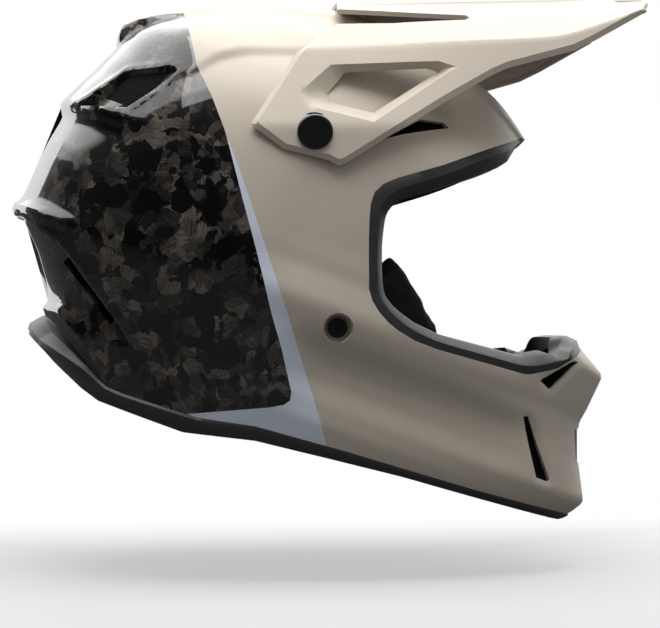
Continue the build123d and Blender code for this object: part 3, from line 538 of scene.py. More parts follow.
top_columns = np.linspace(wide, 0, int(wide / grid_step) + 1)[:, None]
top_edge = np.hstack([top_columns, np.full_like(top_columns, row_places[-1])])
shell_area = np.vstack([edge_flat[::-1], top_edge])
port_hole = np.vstack([port_flat, [[-1, port_flat[-1, 1]], [-1, port_flat[0, 1]]]])
mouth_hole = np.vstack([mouth_flat, [[-1, mouth_flat[-1, 1]], [-1, mouth_flat[0, 1]]]])
side_holes = [trace(shares, True) for shares in (
    brow_vent_shares, rear_slot_shares, rear_slit_shares, chin_gill_shares, chin_slot_shares)]
shell_holes = [port_hole, mouth_hole] + side_holes
flat, triangles, middles = cut_sheet(shell_area, shell_holes, crease_lines, grid_step)
points, normals = dressed(flat[:, 0] / column_scale, flat[:, 1])
face_sides = skin(middles[:, 0] / column_scale, middles[:, 1])[:, [0, 2]]
carbon_area = np.vstack([head_length * np.array(paint_shares), [[-260, -120], [-260, 160]]])
stripe_area = np.vstack([head_length * np.array(stripe_shares), [[-150, -120], [-150, 94]]])
finish = np.where(inside(face_sides, carbon_area), 0, np.where(inside(face_sides, stripe_area), 2, 1))


def new_object(name, vertices, faces):
    """Object of a new mesh, from millimetres."""
    mesh = bpy.data.meshes.new(name)
    spots = [tuple(MM * value for value in point) for point in vertices]
    mesh.from_pydata(spots, [], [tuple(face) for face in faces])
    made = bpy.data.objects.new(name, mesh)
    bpy.context.scene.collection.objects.link(made)
    return made


def settle(piece, sharp=35, merge=0.02):
    """Merge doubles, turn the faces outwards and smooth a mesh up to a sharp angle."""
    work = bmesh.new()
    work.from_mesh(piece.data)
    bmesh.ops.remove_doubles(work, verts=work.verts, dist=MM * merge)
    bmesh.ops.dissolve_degenerate(work, edges=work.edges, dist=MM * merge / 4)
    bmesh.ops.recalc_face_normals(work, faces=work.faces)
    work.to_mesh(piece.data)
    work.free()
    piece.data.shade_smooth()
    piece.data.set_sharp_from_angle(angle=radians(sharp))
    return piece


def finish_modifiers(piece):
    """Turn a piece and its modifiers into a plain mesh."""
    bpy.context.view_layer.update()
    made = bpy.data.meshes.new_from_object(piece.evaluated_get(bpy.context.evaluated_depsgraph_get()))
    piece.modifiers.clear()
    piece.data = made
    return piece


def walled(name, points, triangles, finish, thickness, sharp):
    """Mirror a right half across the middle plane and give it a wall inwards."""
    both = np.vstack([points, points * (1, -1, 1)])
    made = new_object(name, both, np.vstack([triangles, triangles[:, ::-1] + len(points)]))
    made.data.polygons.foreach_set("material_index", np.tile(finish, 2).astype(np.int32))
    settle(made)
    if sum(face.normal.z * face.area for face in made.data.polygons) < 0:
        made.data.flip_normals()
    wall = made.modifiers.new("wall", "SOLIDIFY")
    wall.thickness = MM * thickness
    wall.offset = -1
    finish_modifiers(made)
    made.data.shade_smooth()
    made.data.set_sharp_from_angle(angle=radians(sharp))
    return made


shell = walled("shell", points, triangles, finish, shell_wall, 38)

# Forged carbon under clear lacquer: chopped chips of carbon pressed at random give patches from
# black to grey-brown with fine fibre lines, and the lacquer gives sharp white reflections.
chip_size = 12.0
fibre_width = 0.7
fibre_ratio = 12
torn_size, torn_reach = 6.0, 6.0


def surface_of(name):
    """New material with its node tree and its surface node."""
    made = bpy.data.materials.new(name)
    made.use_nodes = True
    return made, made.node_tree, made.node_tree.nodes["Principled BSDF"]


def noise(tree, place, size, detail):
    """Noise whose patches have a real size in millimetres."""
    return add_node(tree, "ShaderNodeTexNoise", {"Vector": place},
                    {"Scale": 1 / (MM * size), "Detail": detail})


carbon, tree, surface = surface_of("forged_carbon_clear_coated")
place = add_node(tree, "ShaderNodeTexCoord").outputs["Object"]
torn = noise(tree, place, torn_size, 3.0)
shift = add_node(tree, "ShaderNodeVectorMath", {0: torn.outputs["Color"]}, {1: (0.5, 0.5, 0.5)},
                 operation="SUBTRACT")
bent = add_node(tree, "ShaderNodeVectorMath", {0: shift.outputs[0], 2: place}, {1: (MM * torn_reach,) * 3},
                operation="MULTIPLY_ADD")
chips = add_node(tree, "ShaderNodeTexVoronoi", {"Vector": bent.outputs[0]}, {"Scale": 1 / (MM * chip_size)})
under = add_node(tree, "ShaderNodeTexVoronoi", {"Vector": bent.outputs[0]},
                 {"Scale": 1 / (MM * chip_size * 0.55)}, distance="MANHATTAN")
chip_tone = add_node(tree, "ShaderNodeSeparateColor", {0: chips.outputs["Color"]})
under_tone = add_node(tree, "ShaderNodeSeparateColor", {0: under.outputs["Color"]})
tone = add_node(tree, "ShaderNodeMath", {0: chip_tone.outputs[0], 1: under_tone.outputs[0]},
                operation="MULTIPLY")
spin = add_node(tree, "ShaderNodeMath", {0: chip_tone.outputs[1]}, {1: pi}, operation="MULTIPLY")
turned = add_node(tree, "ShaderNodeVectorRotate", {"Vector": place, "Angle": spin.outputs[0]},
                  rotation_type="Y_AXIS")
stretched = add_node(tree, "ShaderNodeMapping", {"Vector": turned.outputs[0]},
                     {"Scale": (1, 1, fibre_ratio)})
fibres = noise(tree, stretched.outputs[0], fibre_width * fibre_ratio, 2.0)
lines = add_node(tree, "ShaderNodeMapRange", {0: fibres.outputs[0]}, {1: 0.3, 2: 0.75, 3: 0.55, 4: 1.35})
lit = add_node(tree, "ShaderNodeMath", {0: tone.outputs[0], 1: lines.outputs[0]}, operation="MULTIPLY")
colours = add_node(tree, "ShaderNodeValToRGB", {0: lit.outputs[0]})
steps = colours.color_ramp.elements
steps[0].position, steps[0].color = 0.03, linear("#030304")
steps[1].position, steps[1].color = 0.85, linear("#625a52")
for position, colour in ((0.10, "#0b0b0d"), (0.20, "#1f1e1e"), (0.42, "#393531")):
    steps.new(position).color = linear(colour)
tree.links.new(colours.outputs[0], surface.inputs["Base Color"])
surface.inputs["Roughness"].default_value = 0.42
surface.inputs["Specular IOR Level"].default_value = 0.06
surface.inputs["Coat Weight"].default_value = 1.0
surface.inputs["Coat Roughness"].default_value = 0.04
shell.data.materials.append(carbon)


def plain(name, colour, roughness, grain, grain_size, metal=0.0, mottle=0.12, cloud=(14, 3.0), depth=0.5):
    """Material of one colour with a faint mottle and a surface grain of a real size in millimetres."""
    made, tree, surface = surface_of(name)
    place = add_node(tree, "ShaderNodeTexCoord").outputs["Object"]
    mixing = noise(tree, place, *cloud).outputs[0]
    tint = add_node(tree, "ShaderNodeMix", {"Factor": mixing}, data_type="RGBA")
    base = linear(colour)
    tint.inputs[6].default_value = [part * (1 - mottle) for part in base[:3]] + [1]
    tint.inputs[7].default_value = [min(part * (1 + mottle), 1) for part in base[:3]] + [1]
    tree.links.new(tint.outputs[2], surface.inputs["Base Color"])
    surface.inputs["Roughness"].default_value = roughness
    surface.inputs["Metallic"].default_value = metal
    if grain:
        speckle = noise(tree, place, grain_size, 2.0)
        bump = add_node(tree, "ShaderNodeBump", {"Height": speckle.outputs[0]},
                        {"Strength": grain, "Distance": MM * grain_size * depth})
        tree.links.new(bump.outputs[0], surface.inputs["Normal"])
    return made


paint = {"mottle": 0.02, "cloud": (28, 4.0), "depth": 1 / 6}
# Sand paint: a warm beige, matte with a soft sheen, even over skin and peak.
sand = plain("sand_paint_matte", "#c3b9aa", 0.5, 0.05, 0.9, **paint)
# Blue-grey stripe paint: the same matte lacquer in a cooler tone.
stripe = plain("blue_grey_paint_matte", "#d2dae8", 0.4, 0.05, 0.9, **paint)
shell.data.materials.append(sand)
shell.data.materials.append(stripe)
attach(shell, "helmet")
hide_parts("outer_shell")

# Eye port trim: a moulded rubber ring that hooks over the edge of the shell. A flush outer band,
# then a facet that slopes in to the foam behind it.
sight_shares = (
    (0.900, 0.340), (0.688, 0.338), (0.628, 0.280), (0.430, 0.196), (0.318, 0.160), (0.278, 0.140),
    (0.262, 0.125), (0.252, 0.104), (0.247, 0.070), (0.243, 0.030), (0.244, -0.085), (0.250, -0.108),
    (0.268, -0.132), (0.290, -0.152), (0.330, -0.180), (0.405, -0.214), (0.650, -0.278), (0.735, -0.268),
    (0.810, -0.213), (1.150, -0.205),
)
port_trim_rows = (
    (0.0, 2.9), (0.0, 0.35), (0.04, 0.1), (0.50, 0.0), (0.56, 0.5), (0.94, 4.6), (1.0, 5.6), (1.0, 12.5),
    (0.35, 12.8), (0.0, 9.0),
)
port_points, base_points = 150, 220


def tube_faces(count, size):
    """Faces of a tube of count rings with size corners each."""
    return [(ring * size + item, ring * size + after, (ring + 1) * size + after, (ring + 1) * size + item)
            for ring in range(count - 1) for item in range(size) for after in ((item + 1) % size,)]


def skin_strip(name, outer, inner, rows, stand):
    """Closed ring of rubber between two flat outlines, its rows set in from the skin, mirrored."""
    rings = []
    for share, inset in rows:
        line = outer + (inner - outer) * share
        points, normals = dressed(np.clip(line[:, 0], 0, wide) / column_scale, line[:, 1])
        rings.append(points - (inset - stand(points, share))[:, None] * normals)
    rings = np.stack(rings, 1)
    count, size = rings.shape[:2]
    spots = rings.reshape(-1, 3)
    spots = np.vstack([spots, spots * (1, -1, 1)])
    faces = tube_faces(count, size)
    faces += [tuple(corner + count * size for corner in reversed(face)) for face in faces]
    made = new_object(name, spots, faces)
    return settle(made, sharp=30, merge=0.01)


sight_flat = trace(sight_shares)
sight_flat[[0, -1], 0] = 0
port_trim = skin_strip("eye_port_rubber", evenly(port_flat, port_points), evenly(sight_flat, port_points),
                       port_trim_rows, lambda points, share: np.zeros(len(points)))

# Base trim: a thicker rubber lip round the shell's lower edge, which stands out at the nape.
base_edge_shares = (
    (-0.900, -0.150), (-0.725, -0.168), (-0.708, -0.205), (-0.678, -0.240), (-0.560, -0.356),
    (-0.515, -0.388), (-0.290, -0.468), (-0.100, -0.490), (0.100, -0.540), (0.300, -0.592),
    (0.785, -0.738), (0.830, -0.744), (1.150, -0.830),
)
base_trim_rows = (
    (0.0, 2.9), (0.0, 0.0), (0.10, -0.4), (0.22, -0.5), (0.60, -0.3), (0.94, 0.2), (1.0, 1.0), (1.0, 8.2),
    (0.0, 8.2),
)
nape_stands = ((0, 1.5), (0.12, 9.5), (0.22, 10.0), (0.6, 6.0), (1.0, 1.5))


def nape_stand(points, share):
    """How far the lip stands out from the skin, most at the nape."""
    along = points[:, 0] * cos(lean) - points[:, 2] * sin(lean)
    most = read(nape_stands, share)
    return 0.5 + most * (1 - ramp(along, -118, -72)) + 0.12 * most * (1 - ramp(along, -60, 30))


base_flat = trace(base_edge_shares)
base_flat[0, 0], base_flat[-1, 0] = wide, 0
base_trim = skin_strip("base_rubber", evenly(edge_flat, base_points), evenly(base_flat, base_points),
                       base_trim_rows, nape_stand)

# Visor: one injection-moulded peak in matte sand plastic, 2.6 mm thick. Bevelled side windows,
# two slots beside a raised middle panel, and arms that clamp on the pivots.
visor_wall = 2.6
visor_step = 2.4
line_step = 1.5
window_depth = 6.0
window_limit = 108.0
edge_bevel = 2.8
edge_drop = 2.0
bevel_end = 172.0
fold_round = 2.0
peak_inside = (60, 0, 60)
visor_places = (-0.140, 0.170, 0.420, 0.700, 0.860, 1.080)
visor_rows = np.array((
    ((0.602, 0.220), (0.590, 0.338), (0.495, 0.548), (0.335, 0.632),
     (0.210, 0.676), (0.100, 0.702), (0, 0.712)),
    ((0.604, 0.200), (0.590, 0.338), (0.492, 0.560), (0.330, 0.652),
     (0.205, 0.701), (0.100, 0.724), (0, 0.731)),
    ((0.584, 0.250), (0.570, 0.350), (0.485, 0.576), (0.320, 0.652),
     (0.200, 0.697), (0.100, 0.726), (0, 0.733)),
    ((0.520, 0.400), (0.505, 0.450), (0.455, 0.594), (0.290, 0.664),
     (0.185, 0.700), (0.090, 0.732), (0, 0.740)),
    ((0.470, 0.490), (0.460, 0.530), (0.425, 0.640), (0.260, 0.690),
     (0.160, 0.718), (0.080, 0.740), (0, 0.746)),
    ((0.405, 0.600), (0.400, 0.640), (0.375, 0.728), (0.220, 0.742),
     (0.130, 0.748), (0.060, 0.752), (0, 0.753)),
))
visor_bands = np.array((0.0, 24.0, 70.0, 106.0, 133.0, 156.0, 176.0))
visor_side_shares = (
    (-0.114, 0.348), (-0.103, 0.333), (-0.030, 0.278), (0.085, 0.250), (0.114, 0.235), (0.136, 0.243),
    (0.390, 0.403), (0.443, 0.434), (0.539, 0.489), (0.580, 0.507), (0.765, 0.559), (0.825, 0.588),
    (0.978, 0.674), (0.9625, 0.697),
)
visor_front_shares = (
    (0.964, 0.376), (0.985, 0.300), (1.012, 0.220), (1.033, 0.130), (1.044, 0.060), (1.046, 0.000),
)
visor_rear_shares = ((0.172, 0.770), (0.122, 0.640), (0.020, 0.553), (0.010, 0.541), (-0.114, 0.348))
window_outer_shares = (
    (0.0175, 0.431), (0.0995, 0.5055), (0.3865, 0.519), (0.437, 0.5035), (0.208, 0.3495), (0.036, 0.392),
)
window_hole_shares = (
    (0.090, 0.440), (0.140, 0.499), (0.358, 0.512), (0.390, 0.502), (0.212, 0.389), (0.098, 0.417),
)
visor_slot_shares = (
    (0.020, 0.235), (0.495, 0.268), (0.503, 0.290), (0.490, 0.316), (0.285, 0.358), (0.020, 0.372),
)
visor_outline = visor_side_shares[:-1] + ((0.956, 0.712), (0.9, 0.9), (0.172, 0.9)) + visor_rear_shares[1:-1]


def visor_profile(x):
    """Side and height of the peak's skin across each of the places x, from arm edge to middle."""
    table = visor_rows.reshape(len(visor_rows), -1)
    rows = through_rows(np.array(visor_places), table, np.clip(x / head_length, -0.15, 1.08))
    return head_length * rows.reshape(len(rows), 7, 2)


def visor_skin(x, band):
    """Points of the right half of the peak's skin, in millimetres."""
    rows = visor_profile(x)
    made = np.zeros((len(x), 2))
    for shift, weight in ((-fold_round, 0.25), (0.0, 0.5), (fold_round, 0.25)):
        at = np.abs(band + shift)
        at = np.where(at > visor_bands[-1], 2 * visor_bands[-1] - at, at)
        seat = np.clip(np.searchsorted(visor_bands, at, side="right") - 1, 0, 5)
        share = ((at - visor_bands[seat]) / (visor_bands[seat + 1] - visor_bands[seat]))[:, None]
        pick = np.arange(len(x))
        made += weight * (rows[pick, seat] * (1 - share) + rows[pick, seat + 1] * share)
    return np.stack([x, -made[:, 0], made[:, 1]], 1)


def on_visor(points, item):
    """Flat places on the peak of points seen from the side (x, z), item 1, or from above (x, -y), item 0."""
    x = points[:, 0]
    rows = visor_profile(x)
    band = np.zeros(len(x))
    for index in range(len(x)):
        values = rows[index, :, item]
        order = np.argsort(values)
        band[index] = np.interp(points[index, 1], values[order], visor_bands[order])
    return np.stack([x, band], 1)


def along_line(shares, closed=False):
    """Points in millimetres along an outline of shares, with its corners kept."""
    corners = head_length * np.array(shares)
    if closed:
        corners = np.vstack([corners, corners[:1]])
    run = []
    for start, end in zip(corners[:-1], corners[1:]):
        count = max(1, int(np.hypot(*(end - start)) / line_step))
        run.append(start + (end - start) * (np.arange(count) / count)[:, None])
    if not closed:
        run.append(corners[-1:])
    return np.vstack(run)


lower_run = on_visor(along_line(visor_side_shares), 1)[:-1]
rear_run = on_visor(along_line(visor_rear_shares), 1)[1:-1]
front_run = on_visor(along_line(visor_front_shares), 0)
visor_area = np.vstack([lower_run, front_run, rear_run])
window_outer = on_visor(along_line(window_outer_shares, True), 1)
window_hole = on_visor(along_line(window_hole_shares, True), 1)
slot_hole = on_visor(along_line(visor_slot_shares, True), 0)
creases = [np.vstack([window_outer, window_outer[:1]])]
for outer, inner in zip(window_outer_shares, window_hole_shares):
    mitre = head_length * (np.array(outer) + (np.array(inner) - outer) * np.linspace(0.03, 0.97, 8)[:, None])
    creases.append(on_visor(mitre, 1))
for band in visor_bands[2:6]:
    run = np.stack([np.arange(-20, 205, 2.0), np.full(113, band)], 1)
    creases.append(run[inside(run, visor_area) & ~inside(run, window_outer) & ~inside(run, slot_hole)])
bevel_run = on_visor(along_line(drawn_in(visor_outline, edge_bevel), True), 1)
creases.append(bevel_run[(bevel_run[:, 1] < bevel_end) & inside(bevel_run, visor_area)])
flat, triangles, middles = cut_sheet(visor_area, [window_hole, slot_hole], creases, visor_step)


def visor_relief(points, flat):
    """How far the window frames and the rear bevel stand off the peak's skin."""
    outer, hole, gap = [depth_in(points[:, [0, 2]], head_length * np.array(shares)) for shares in (
        window_outer_shares, window_hole_shares, visor_outline)]
    from_outer, from_hole = np.maximum(outer, 0), np.maximum(-hole, 0)
    sunk = from_outer / np.maximum(from_outer + from_hole, 1e-6)
    out = np.where(flat[:, 1] < window_limit, -window_depth * sunk, 0.0)
    return out - edge_drop * (1 - np.clip(gap / edge_bevel, 0, 1))


def visor_dressed(flat):
    """Finished points of the right half of the peak."""
    x, band = flat.T
    points = visor_skin(x, band)
    by_x = visor_skin(x + 0.5, band) - visor_skin(x - 0.5, band)
    by_band = visor_skin(x, band + 0.5) - visor_skin(x, band - 0.5)
    normal = np.cross(by_band, by_x)
    normal /= np.maximum(np.linalg.norm(normal, axis=1), 1e-9)[:, None]
    normal *= np.where(np.sum(normal * (points - np.array(peak_inside)), 1) > 0, 1, -1)[:, None]
    middle = band > visor_bands[-1] - 0.01
    normal[middle, 1] = 0
    points = points + visor_relief(points, flat)[:, None] * normal
    points[middle, 1] = 0
    return points


one_finish = np.zeros(len(triangles))
visor = walled("visor_peak_shell", visor_dressed(flat), triangles, one_finish, visor_wall, 24)
visor.data.materials.append(sand)
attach(visor, "visor_peak")
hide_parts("visor")


def dress(material, *names):
    """Give CAD nodes a material."""
    for name in names:
        for slot in nodes[name].material_slots:
            slot.material = material


# Trims and hardware: moulded rubber, glass-filled nylon, blackened and bright steel, bead foam.
rubber = plain("moulded_rubber_black", "#302f33", 0.5, 0.15, 0.5)
for trim, node in ((port_trim, "eyeport_trim"), (base_trim, "base_trim")):
    trim.data.materials.append(rubber)
    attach(trim, "helmet")
    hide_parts(node)
nylon = plain("moulded_nylon_black", "#141416", 0.45, 0.1, 0.4)
dress(nylon, "mouth_grille", "visor_washers", "cheek_plate_right", "cheek_plate_left", "strap_snap")
mesh_black = plain("pressed_mesh_black", "#060606", 0.9, 0.9, 1.6)
mesh_black.node_tree.nodes["Principled BSDF"].inputs["Specular IOR Level"].default_value = 0.1
dress(mesh_black, "brow_screens", "rear_screens", "chin_screens")
cap_black = plain("anodised_aluminium_black", "#0c0c0d", 0.38, 0.05, 0.3)
dress(cap_black, "visor_screw_right", "visor_screw_left", "strap_bolts")
steel = plain("nickel_plated_steel", "#b9bbbd", 0.28, 0.05, 0.5, metal=1.0)
dress(steel, "strap_nuts", "strap_tabs", "d_rings", "visor_nuts")
foam = plain("expanded_polystyrene_black", "#1b1b1d", 0.8, 0.5, 2.6)
dress(foam, "impact_liner", "chin_liner")
hook_tape = plain("hook_tape_black", "#0e0e10", 0.9, 0.8, 0.8)
dress(hook_tape, "cheek_grip_patches")
red_webbing = plain("nylon_webbing_dark_red", "#7a2228", 0.75, 0.5, 0.7)
dress(red_webbing, "cheek_tab_right", "cheek_tab_left")

# Comfort pads: knitted polyester covers over foam, sewn with a welt and held by snaps and hook tape.
# Each swells by simulation from the room that its CAD solid holds.
knit = plain("knitted_polyester_black", "#17171a", 0.85, 0.7, 1.1)
pad_plans = (
    ("brow_pad", 4.5, 3.0), ("crown_pad", 4.5, 3.0), ("nape_pad", 4.5, 3.0), ("neck_roll", 4.5, 4.0),
    ("cheek_pad_right", 4.5, 4.0), ("cheek_pad_left", 4.5, 4.0), ("strap_sleeves", 3.0, 1.5),
)
pad_pressure = 4
pad_frames = 12
bodies = frame["record"]["behaviour"]["bodies"]
body_of_node = {node: body for body, members in bodies.items() for node in members}


def places(mesh):
    """Places of a mesh's corners."""
    found = np.zeros(len(mesh.vertices) * 3)
    mesh.vertices.foreach_get("co", found)
    return found.reshape(-1, 3)


def swollen(name, node, voxel, most):
    """Padded copy of a CAD solid: remeshed, blown up a little as cloth, and smoothed."""
    mesh = nodes[node].data.copy()
    mesh.materials.clear()
    made = bpy.data.objects.new(name, mesh)
    bpy.context.scene.collection.objects.link(made)
    settle(made, merge=0.05)
    remesh = made.modifiers.new("cells", "REMESH")
    remesh.mode = "VOXEL"
    remesh.voxel_size = MM * voxel
    finish_modifiers(made)
    rest = places(made.data)
    work = bmesh.new()
    work.from_mesh(made.data)
    for _ in range(3):
        bmesh.ops.smooth_vert(work, verts=work.verts, factor=0.5, use_axis_x=True, use_axis_y=True,
                              use_axis_z=True)
    work.to_mesh(made.data)
    work.free()
    cloth = made.modifiers.new("cloth", "CLOTH")
    cloth.settings.use_pressure = True
    cloth.settings.uniform_pressure_force = pad_pressure
    cloth.settings.quality = 4
    cloth.settings.effector_weights.gravity = 0
    cloth.collision_settings.use_collision = False
    for number in range(1, pad_frames + 1):
        bpy.context.scene.frame_set(number)
    finish_modifiers(made)
    bpy.context.scene.frame_set(1)
    shift = places(made.data) - rest
    size = np.linalg.norm(shift, axis=1)[:, None]
    moved = rest + shift * np.minimum(1, MM * most / np.maximum(size, 1e-9))
    made.data.vertices.foreach_set("co", moved.ravel())
    finer = made.modifiers.new("finer", "SUBSURF")
    finer.levels = finer.render_levels = 1
    finish_modifiers(made)
    made.data.shade_smooth()
    made.data.materials.append(knit)
    return made


for node, voxel, most in pad_plans:
    pad = swollen(node + "_cover", node, voxel, most)
    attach(pad, body_of_node[node])
    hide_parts(node)

# Chin strap: two woven polyester webs, 20 mm wide and 1.6 mm thick, looped round the steel tabs
# and laced through the two rings. Each end lies back along its own web.
strap_reach = 98.5
strap_low = -98.0
strap_rise = 34.0
strap_middle = 22.7
strap_width = 20.0
webbing_wall = 1.6
selvage = 0.7
tab_middle = 96.2
tab_stations = (83.0, 91.5)
bar_z = -62.1
bar_turn = 2.35
side_turn = 1.75
web_lift = 0.85
web_wrap = 2.5


def strap_point(along, lift):
    """Place (y, z) on the hanging strap, lifted off its middle line."""
    share = along / strap_reach
    slope = 2 * strap_rise * share / strap_reach
    size = hypot(1, slope)
    return along - lift * slope / size, strap_low + strap_rise * share * share + lift / size


def tab_fold(side):
    """Route of the web round the bar of a steel tab, from its tail to the upper layer."""
    y = side * tab_middle
    out = side * side_turn
    tail = [strap_point(side * along, -web_lift) for along in tab_stations]
    loop = [(y + out, bar_z - bar_turn), (y + out, bar_z + bar_turn), (y - out, bar_z + bar_turn),
            (y - out, bar_z - bar_turn / 2)]
    return tail + loop + [strap_point(side * along, web_lift) for along in reversed(tab_stations)]


def bend(along, lift, start, end, steps):
    """Places round a ring's bar between two angles in degrees."""
    turns = [radians(start + (end - start) * step / steps) for step in range(steps + 1)]
    return [strap_point(along + web_wrap * cos(turn), lift + web_wrap * sin(turn)) for turn in turns]


def web(name, route):
    """Flat woven band of the strap's width along a route across the helmet, with rounded selvages."""
    line = np.array(route)
    for _ in range(2):
        before, after = line[:-1], line[1:]
        cut = np.stack([0.75 * before + 0.25 * after, 0.25 * before + 0.75 * after], 1).reshape(-1, 2)
        line = np.vstack([line[:1], cut, line[-1:]])
    step = np.gradient(line, axis=0)
    step /= np.linalg.norm(step, axis=1)[:, None]
    across_line = np.stack([-step[:, 1], step[:, 0]], 1)
    half, edge = webbing_wall / 2, strap_width / 2
    flat_part = np.linspace(selvage - edge, edge - selvage, 9)
    section = [(-edge, 0)] + [(x, half) for x in flat_part]
    section += [(edge, 0)] + [(x, -half) for x in flat_part[::-1]]
    vertices, spots = [], []
    for (y, z), (ny, nz), far in zip(line, across_line, run_length(line)):
        for x, lift in section:
            vertices.append((strap_middle + x, y + lift * ny, z + lift * nz))
            spots.append((MM * x, MM * far))
    count, size = len(line), len(section)
    faces = tube_faces(count, size) + [range(size), reversed(range((count - 1) * size, count * size))]
    made = new_object(name, vertices, faces)
    layer = made.data.uv_layers.new(name="weave")
    for loop in made.data.loops:
        layer.data[loop.index].uv = spots[loop.vertex_index]
    work = bmesh.new()
    work.from_mesh(made.data)
    bmesh.ops.recalc_face_normals(work, faces=work.faces)
    work.to_mesh(made.data)
    work.free()
    made.data.shade_smooth()
    made.data.set_sharp_from_angle(angle=radians(40))
    return made


thread = 1.2
thread_scale = 0.16 / (MM * thread)
webbing, tree, surface = surface_of("woven_polyester_webbing_black")
weave_place = add_node(tree, "ShaderNodeUVMap", uv_map="weave")
twist = add_node(tree, "ShaderNodeMapping", {"Vector": weave_place.outputs[0]},
                 {"Rotation": (0, 0, radians(45))})
ribs = add_node(tree, "ShaderNodeTexWave", {"Vector": weave_place.outputs[0]},
                {"Scale": thread_scale, "Distortion": 0.4})
rows = add_node(tree, "ShaderNodeTexWave", {"Vector": twist.outputs[0]}, {"Scale": thread_scale})
cloth_height = add_node(tree, "ShaderNodeMath", {0: ribs.outputs["Fac"], 1: rows.outputs["Fac"]},
                        operation="MULTIPLY")
web_bump = add_node(tree, "ShaderNodeBump", {"Height": cloth_height.outputs[0]},
                    {"Strength": 0.8, "Distance": MM * 0.4})
# The colour follows the weave's height: painted shade in the grooves between the threads, and a painted
# highlight on the raised thread tops.
weave_painted_shade = add_node(tree, "ShaderNodeMix", {"Factor": cloth_height.outputs[0]}, data_type="RGBA")
weave_painted_shade.inputs[6].default_value = linear("#0d0d0f")
weave_painted_shade.inputs[7].default_value = linear("#26262a")
tree.links.new(web_bump.outputs[0], surface.inputs["Normal"])
tree.links.new(weave_painted_shade.outputs[2], surface.inputs["Base Color"])
surface.inputs["Roughness"].default_value = 0.7

short_stations = (-80.0, -70.0, -62.0)
short_gather = -53.0
short_ring = -46.5
long_stations = (70.0, 50.0, 30.0, 10.0, -10.0, -22.0, -30.0)
long_ring = -37.0
long_ring_lift = 1.7
short_route = tab_fold(-1) + [strap_point(along, web_lift) for along in short_stations]
short_route += [strap_point(short_gather, web_wrap)] + bend(short_ring, 0, 90, -90, 6)
short_route += [strap_point(short_gather, -web_wrap)]
short_route += [strap_point(along, -web_lift) for along in reversed(short_stations)]
long_route = tab_fold(1) + [strap_point(along, -web_lift) for along in long_stations]
long_route += bend(long_ring, long_ring_lift, -90, -300, 8)
long_route += [strap_point(along, web_lift) for along in reversed(long_stations[1:])]
for node, route in (("strap_short", short_route), ("strap_long", long_route)):
    band = web(node + "_web", route)
    band.data.materials.append(webbing)
    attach(band, body_of_node[node])
    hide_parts(node)

# Stitches: bonded polyester thread laid in short stitches, two rows across each end of the webs and
# one along each selvage, as the straps are sewn. The thread's shine picks the rows out.
stitch_length = 2.6
stitch_gap = 1.1
thread_radius = 0.32
stitch_inset = 2.6
thread_black = plain("polyester_thread_grey_black", "#4a4a50", 0.55, 0.0, 0.6)


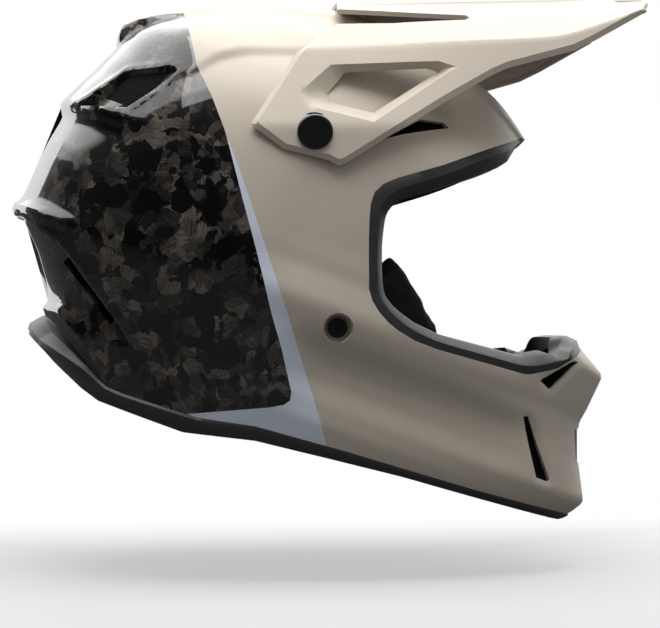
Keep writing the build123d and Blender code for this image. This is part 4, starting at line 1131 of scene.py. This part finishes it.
def stitch_tree():
    """Node group that lays a short rounded stitch at even distances along each line."""
    tree = bpy.data.node_groups.new("stitches_along_lines", "GeometryNodeTree")
    sockets = {}
    for name, kind in (("Lines", "Geometry"), ("Pitch", "Float"), ("Length", "Float"), ("Radius", "Float"),
                       ("Thread", "Material")):
        socket = tree.interface.new_socket(name, in_out="INPUT", socket_type="NodeSocket" + kind)
        sockets[name] = socket.identifier
    tree.interface.new_socket("Stitches", in_out="OUTPUT", socket_type="NodeSocketGeometry")
    given = add_node(tree, "NodeGroupInput").outputs
    line = add_node(tree, "GeometryNodeMeshToCurve", {"Mesh": given["Lines"]})
    stops = add_node(tree, "GeometryNodeCurveToPoints", {"Curve": line.outputs[0], "Length": given["Pitch"]},
                     mode="LENGTH")
    shape = add_node(tree, "GeometryNodeMeshUVSphere", {"Radius": given["Radius"]},
                     {"Segments": 8, "Rings": 6})
    ratio = add_node(tree, "ShaderNodeMath", {0: given["Length"], 1: given["Radius"]}, operation="DIVIDE")
    half = add_node(tree, "ShaderNodeMath", {0: ratio.outputs[0]}, {1: 0.5}, operation="MULTIPLY")
    size = add_node(tree, "ShaderNodeCombineXYZ", {"Z": half.outputs[0]}, {"X": 1.0, "Y": 1.0})
    laid = add_node(tree, "GeometryNodeInstanceOnPoints",
                    {"Points": stops.outputs["Points"], "Instance": shape.outputs["Mesh"],
                     "Rotation": stops.outputs["Rotation"], "Scale": size.outputs[0]})
    real = add_node(tree, "GeometryNodeRealizeInstances", {"Geometry": laid.outputs[0]})
    done = add_node(tree, "GeometryNodeSetMaterial",
                    {"Geometry": real.outputs[0], "Material": given["Thread"]})
    add_node(tree, "NodeGroupOutput", {"Stitches": done.outputs[0]})
    return tree, sockets


stitches, stitch_inputs = stitch_tree()


def sew(name, lines, body):
    """Stitches along lines in millimetres, as one mesh on a body."""
    spots, edges = [], []
    for line in lines:
        edges += [(index, index + 1) for index in range(len(spots), len(spots) + len(line) - 1)]
        spots += [tuple(MM * value for value in point) for point in line]
    mesh = bpy.data.meshes.new(name)
    mesh.from_pydata(spots, edges, [])
    made = bpy.data.objects.new(name, mesh)
    bpy.context.scene.collection.objects.link(made)
    lay = made.modifiers.new("stitches", "NODES")
    lay.node_group = stitches
    for item, value in (("Pitch", MM * (stitch_length + stitch_gap)), ("Length", MM * stitch_length),
                        ("Radius", MM * thread_radius), ("Thread", thread_black)):
        lay[stitch_inputs[item]] = value
    finish_modifiers(made)
    made.data.shade_smooth()
    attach(made, body)
    return made


def seam(stations, x, lift):
    """Line of stitches along the strap at one place across it."""
    return [(strap_middle + x, *strap_point(along, lift)) for along in stations]


row_lifts = (web_lift + webbing_wall / 2, -web_lift - webbing_wall / 2)
edge_ends = ((-86, -58), (58, 86), (-16, 44))
edge_places = (stitch_inset - strap_width / 2, strap_width / 2 - stitch_inset)
cross_places = (-60, -68, 60, 68)
cross_reach = 7.4
edge_rows = [seam(np.linspace(start, end, 12), x, lift)
             for start, end in edge_ends for x in edge_places for lift in row_lifts]
cross_rows = [[(strap_middle + x, *strap_point(along, lift)) for x in (-cross_reach, cross_reach)]
              for along in cross_places for lift in row_lifts]
sew("strap_stitches", edge_rows + cross_rows, "chin_strap")
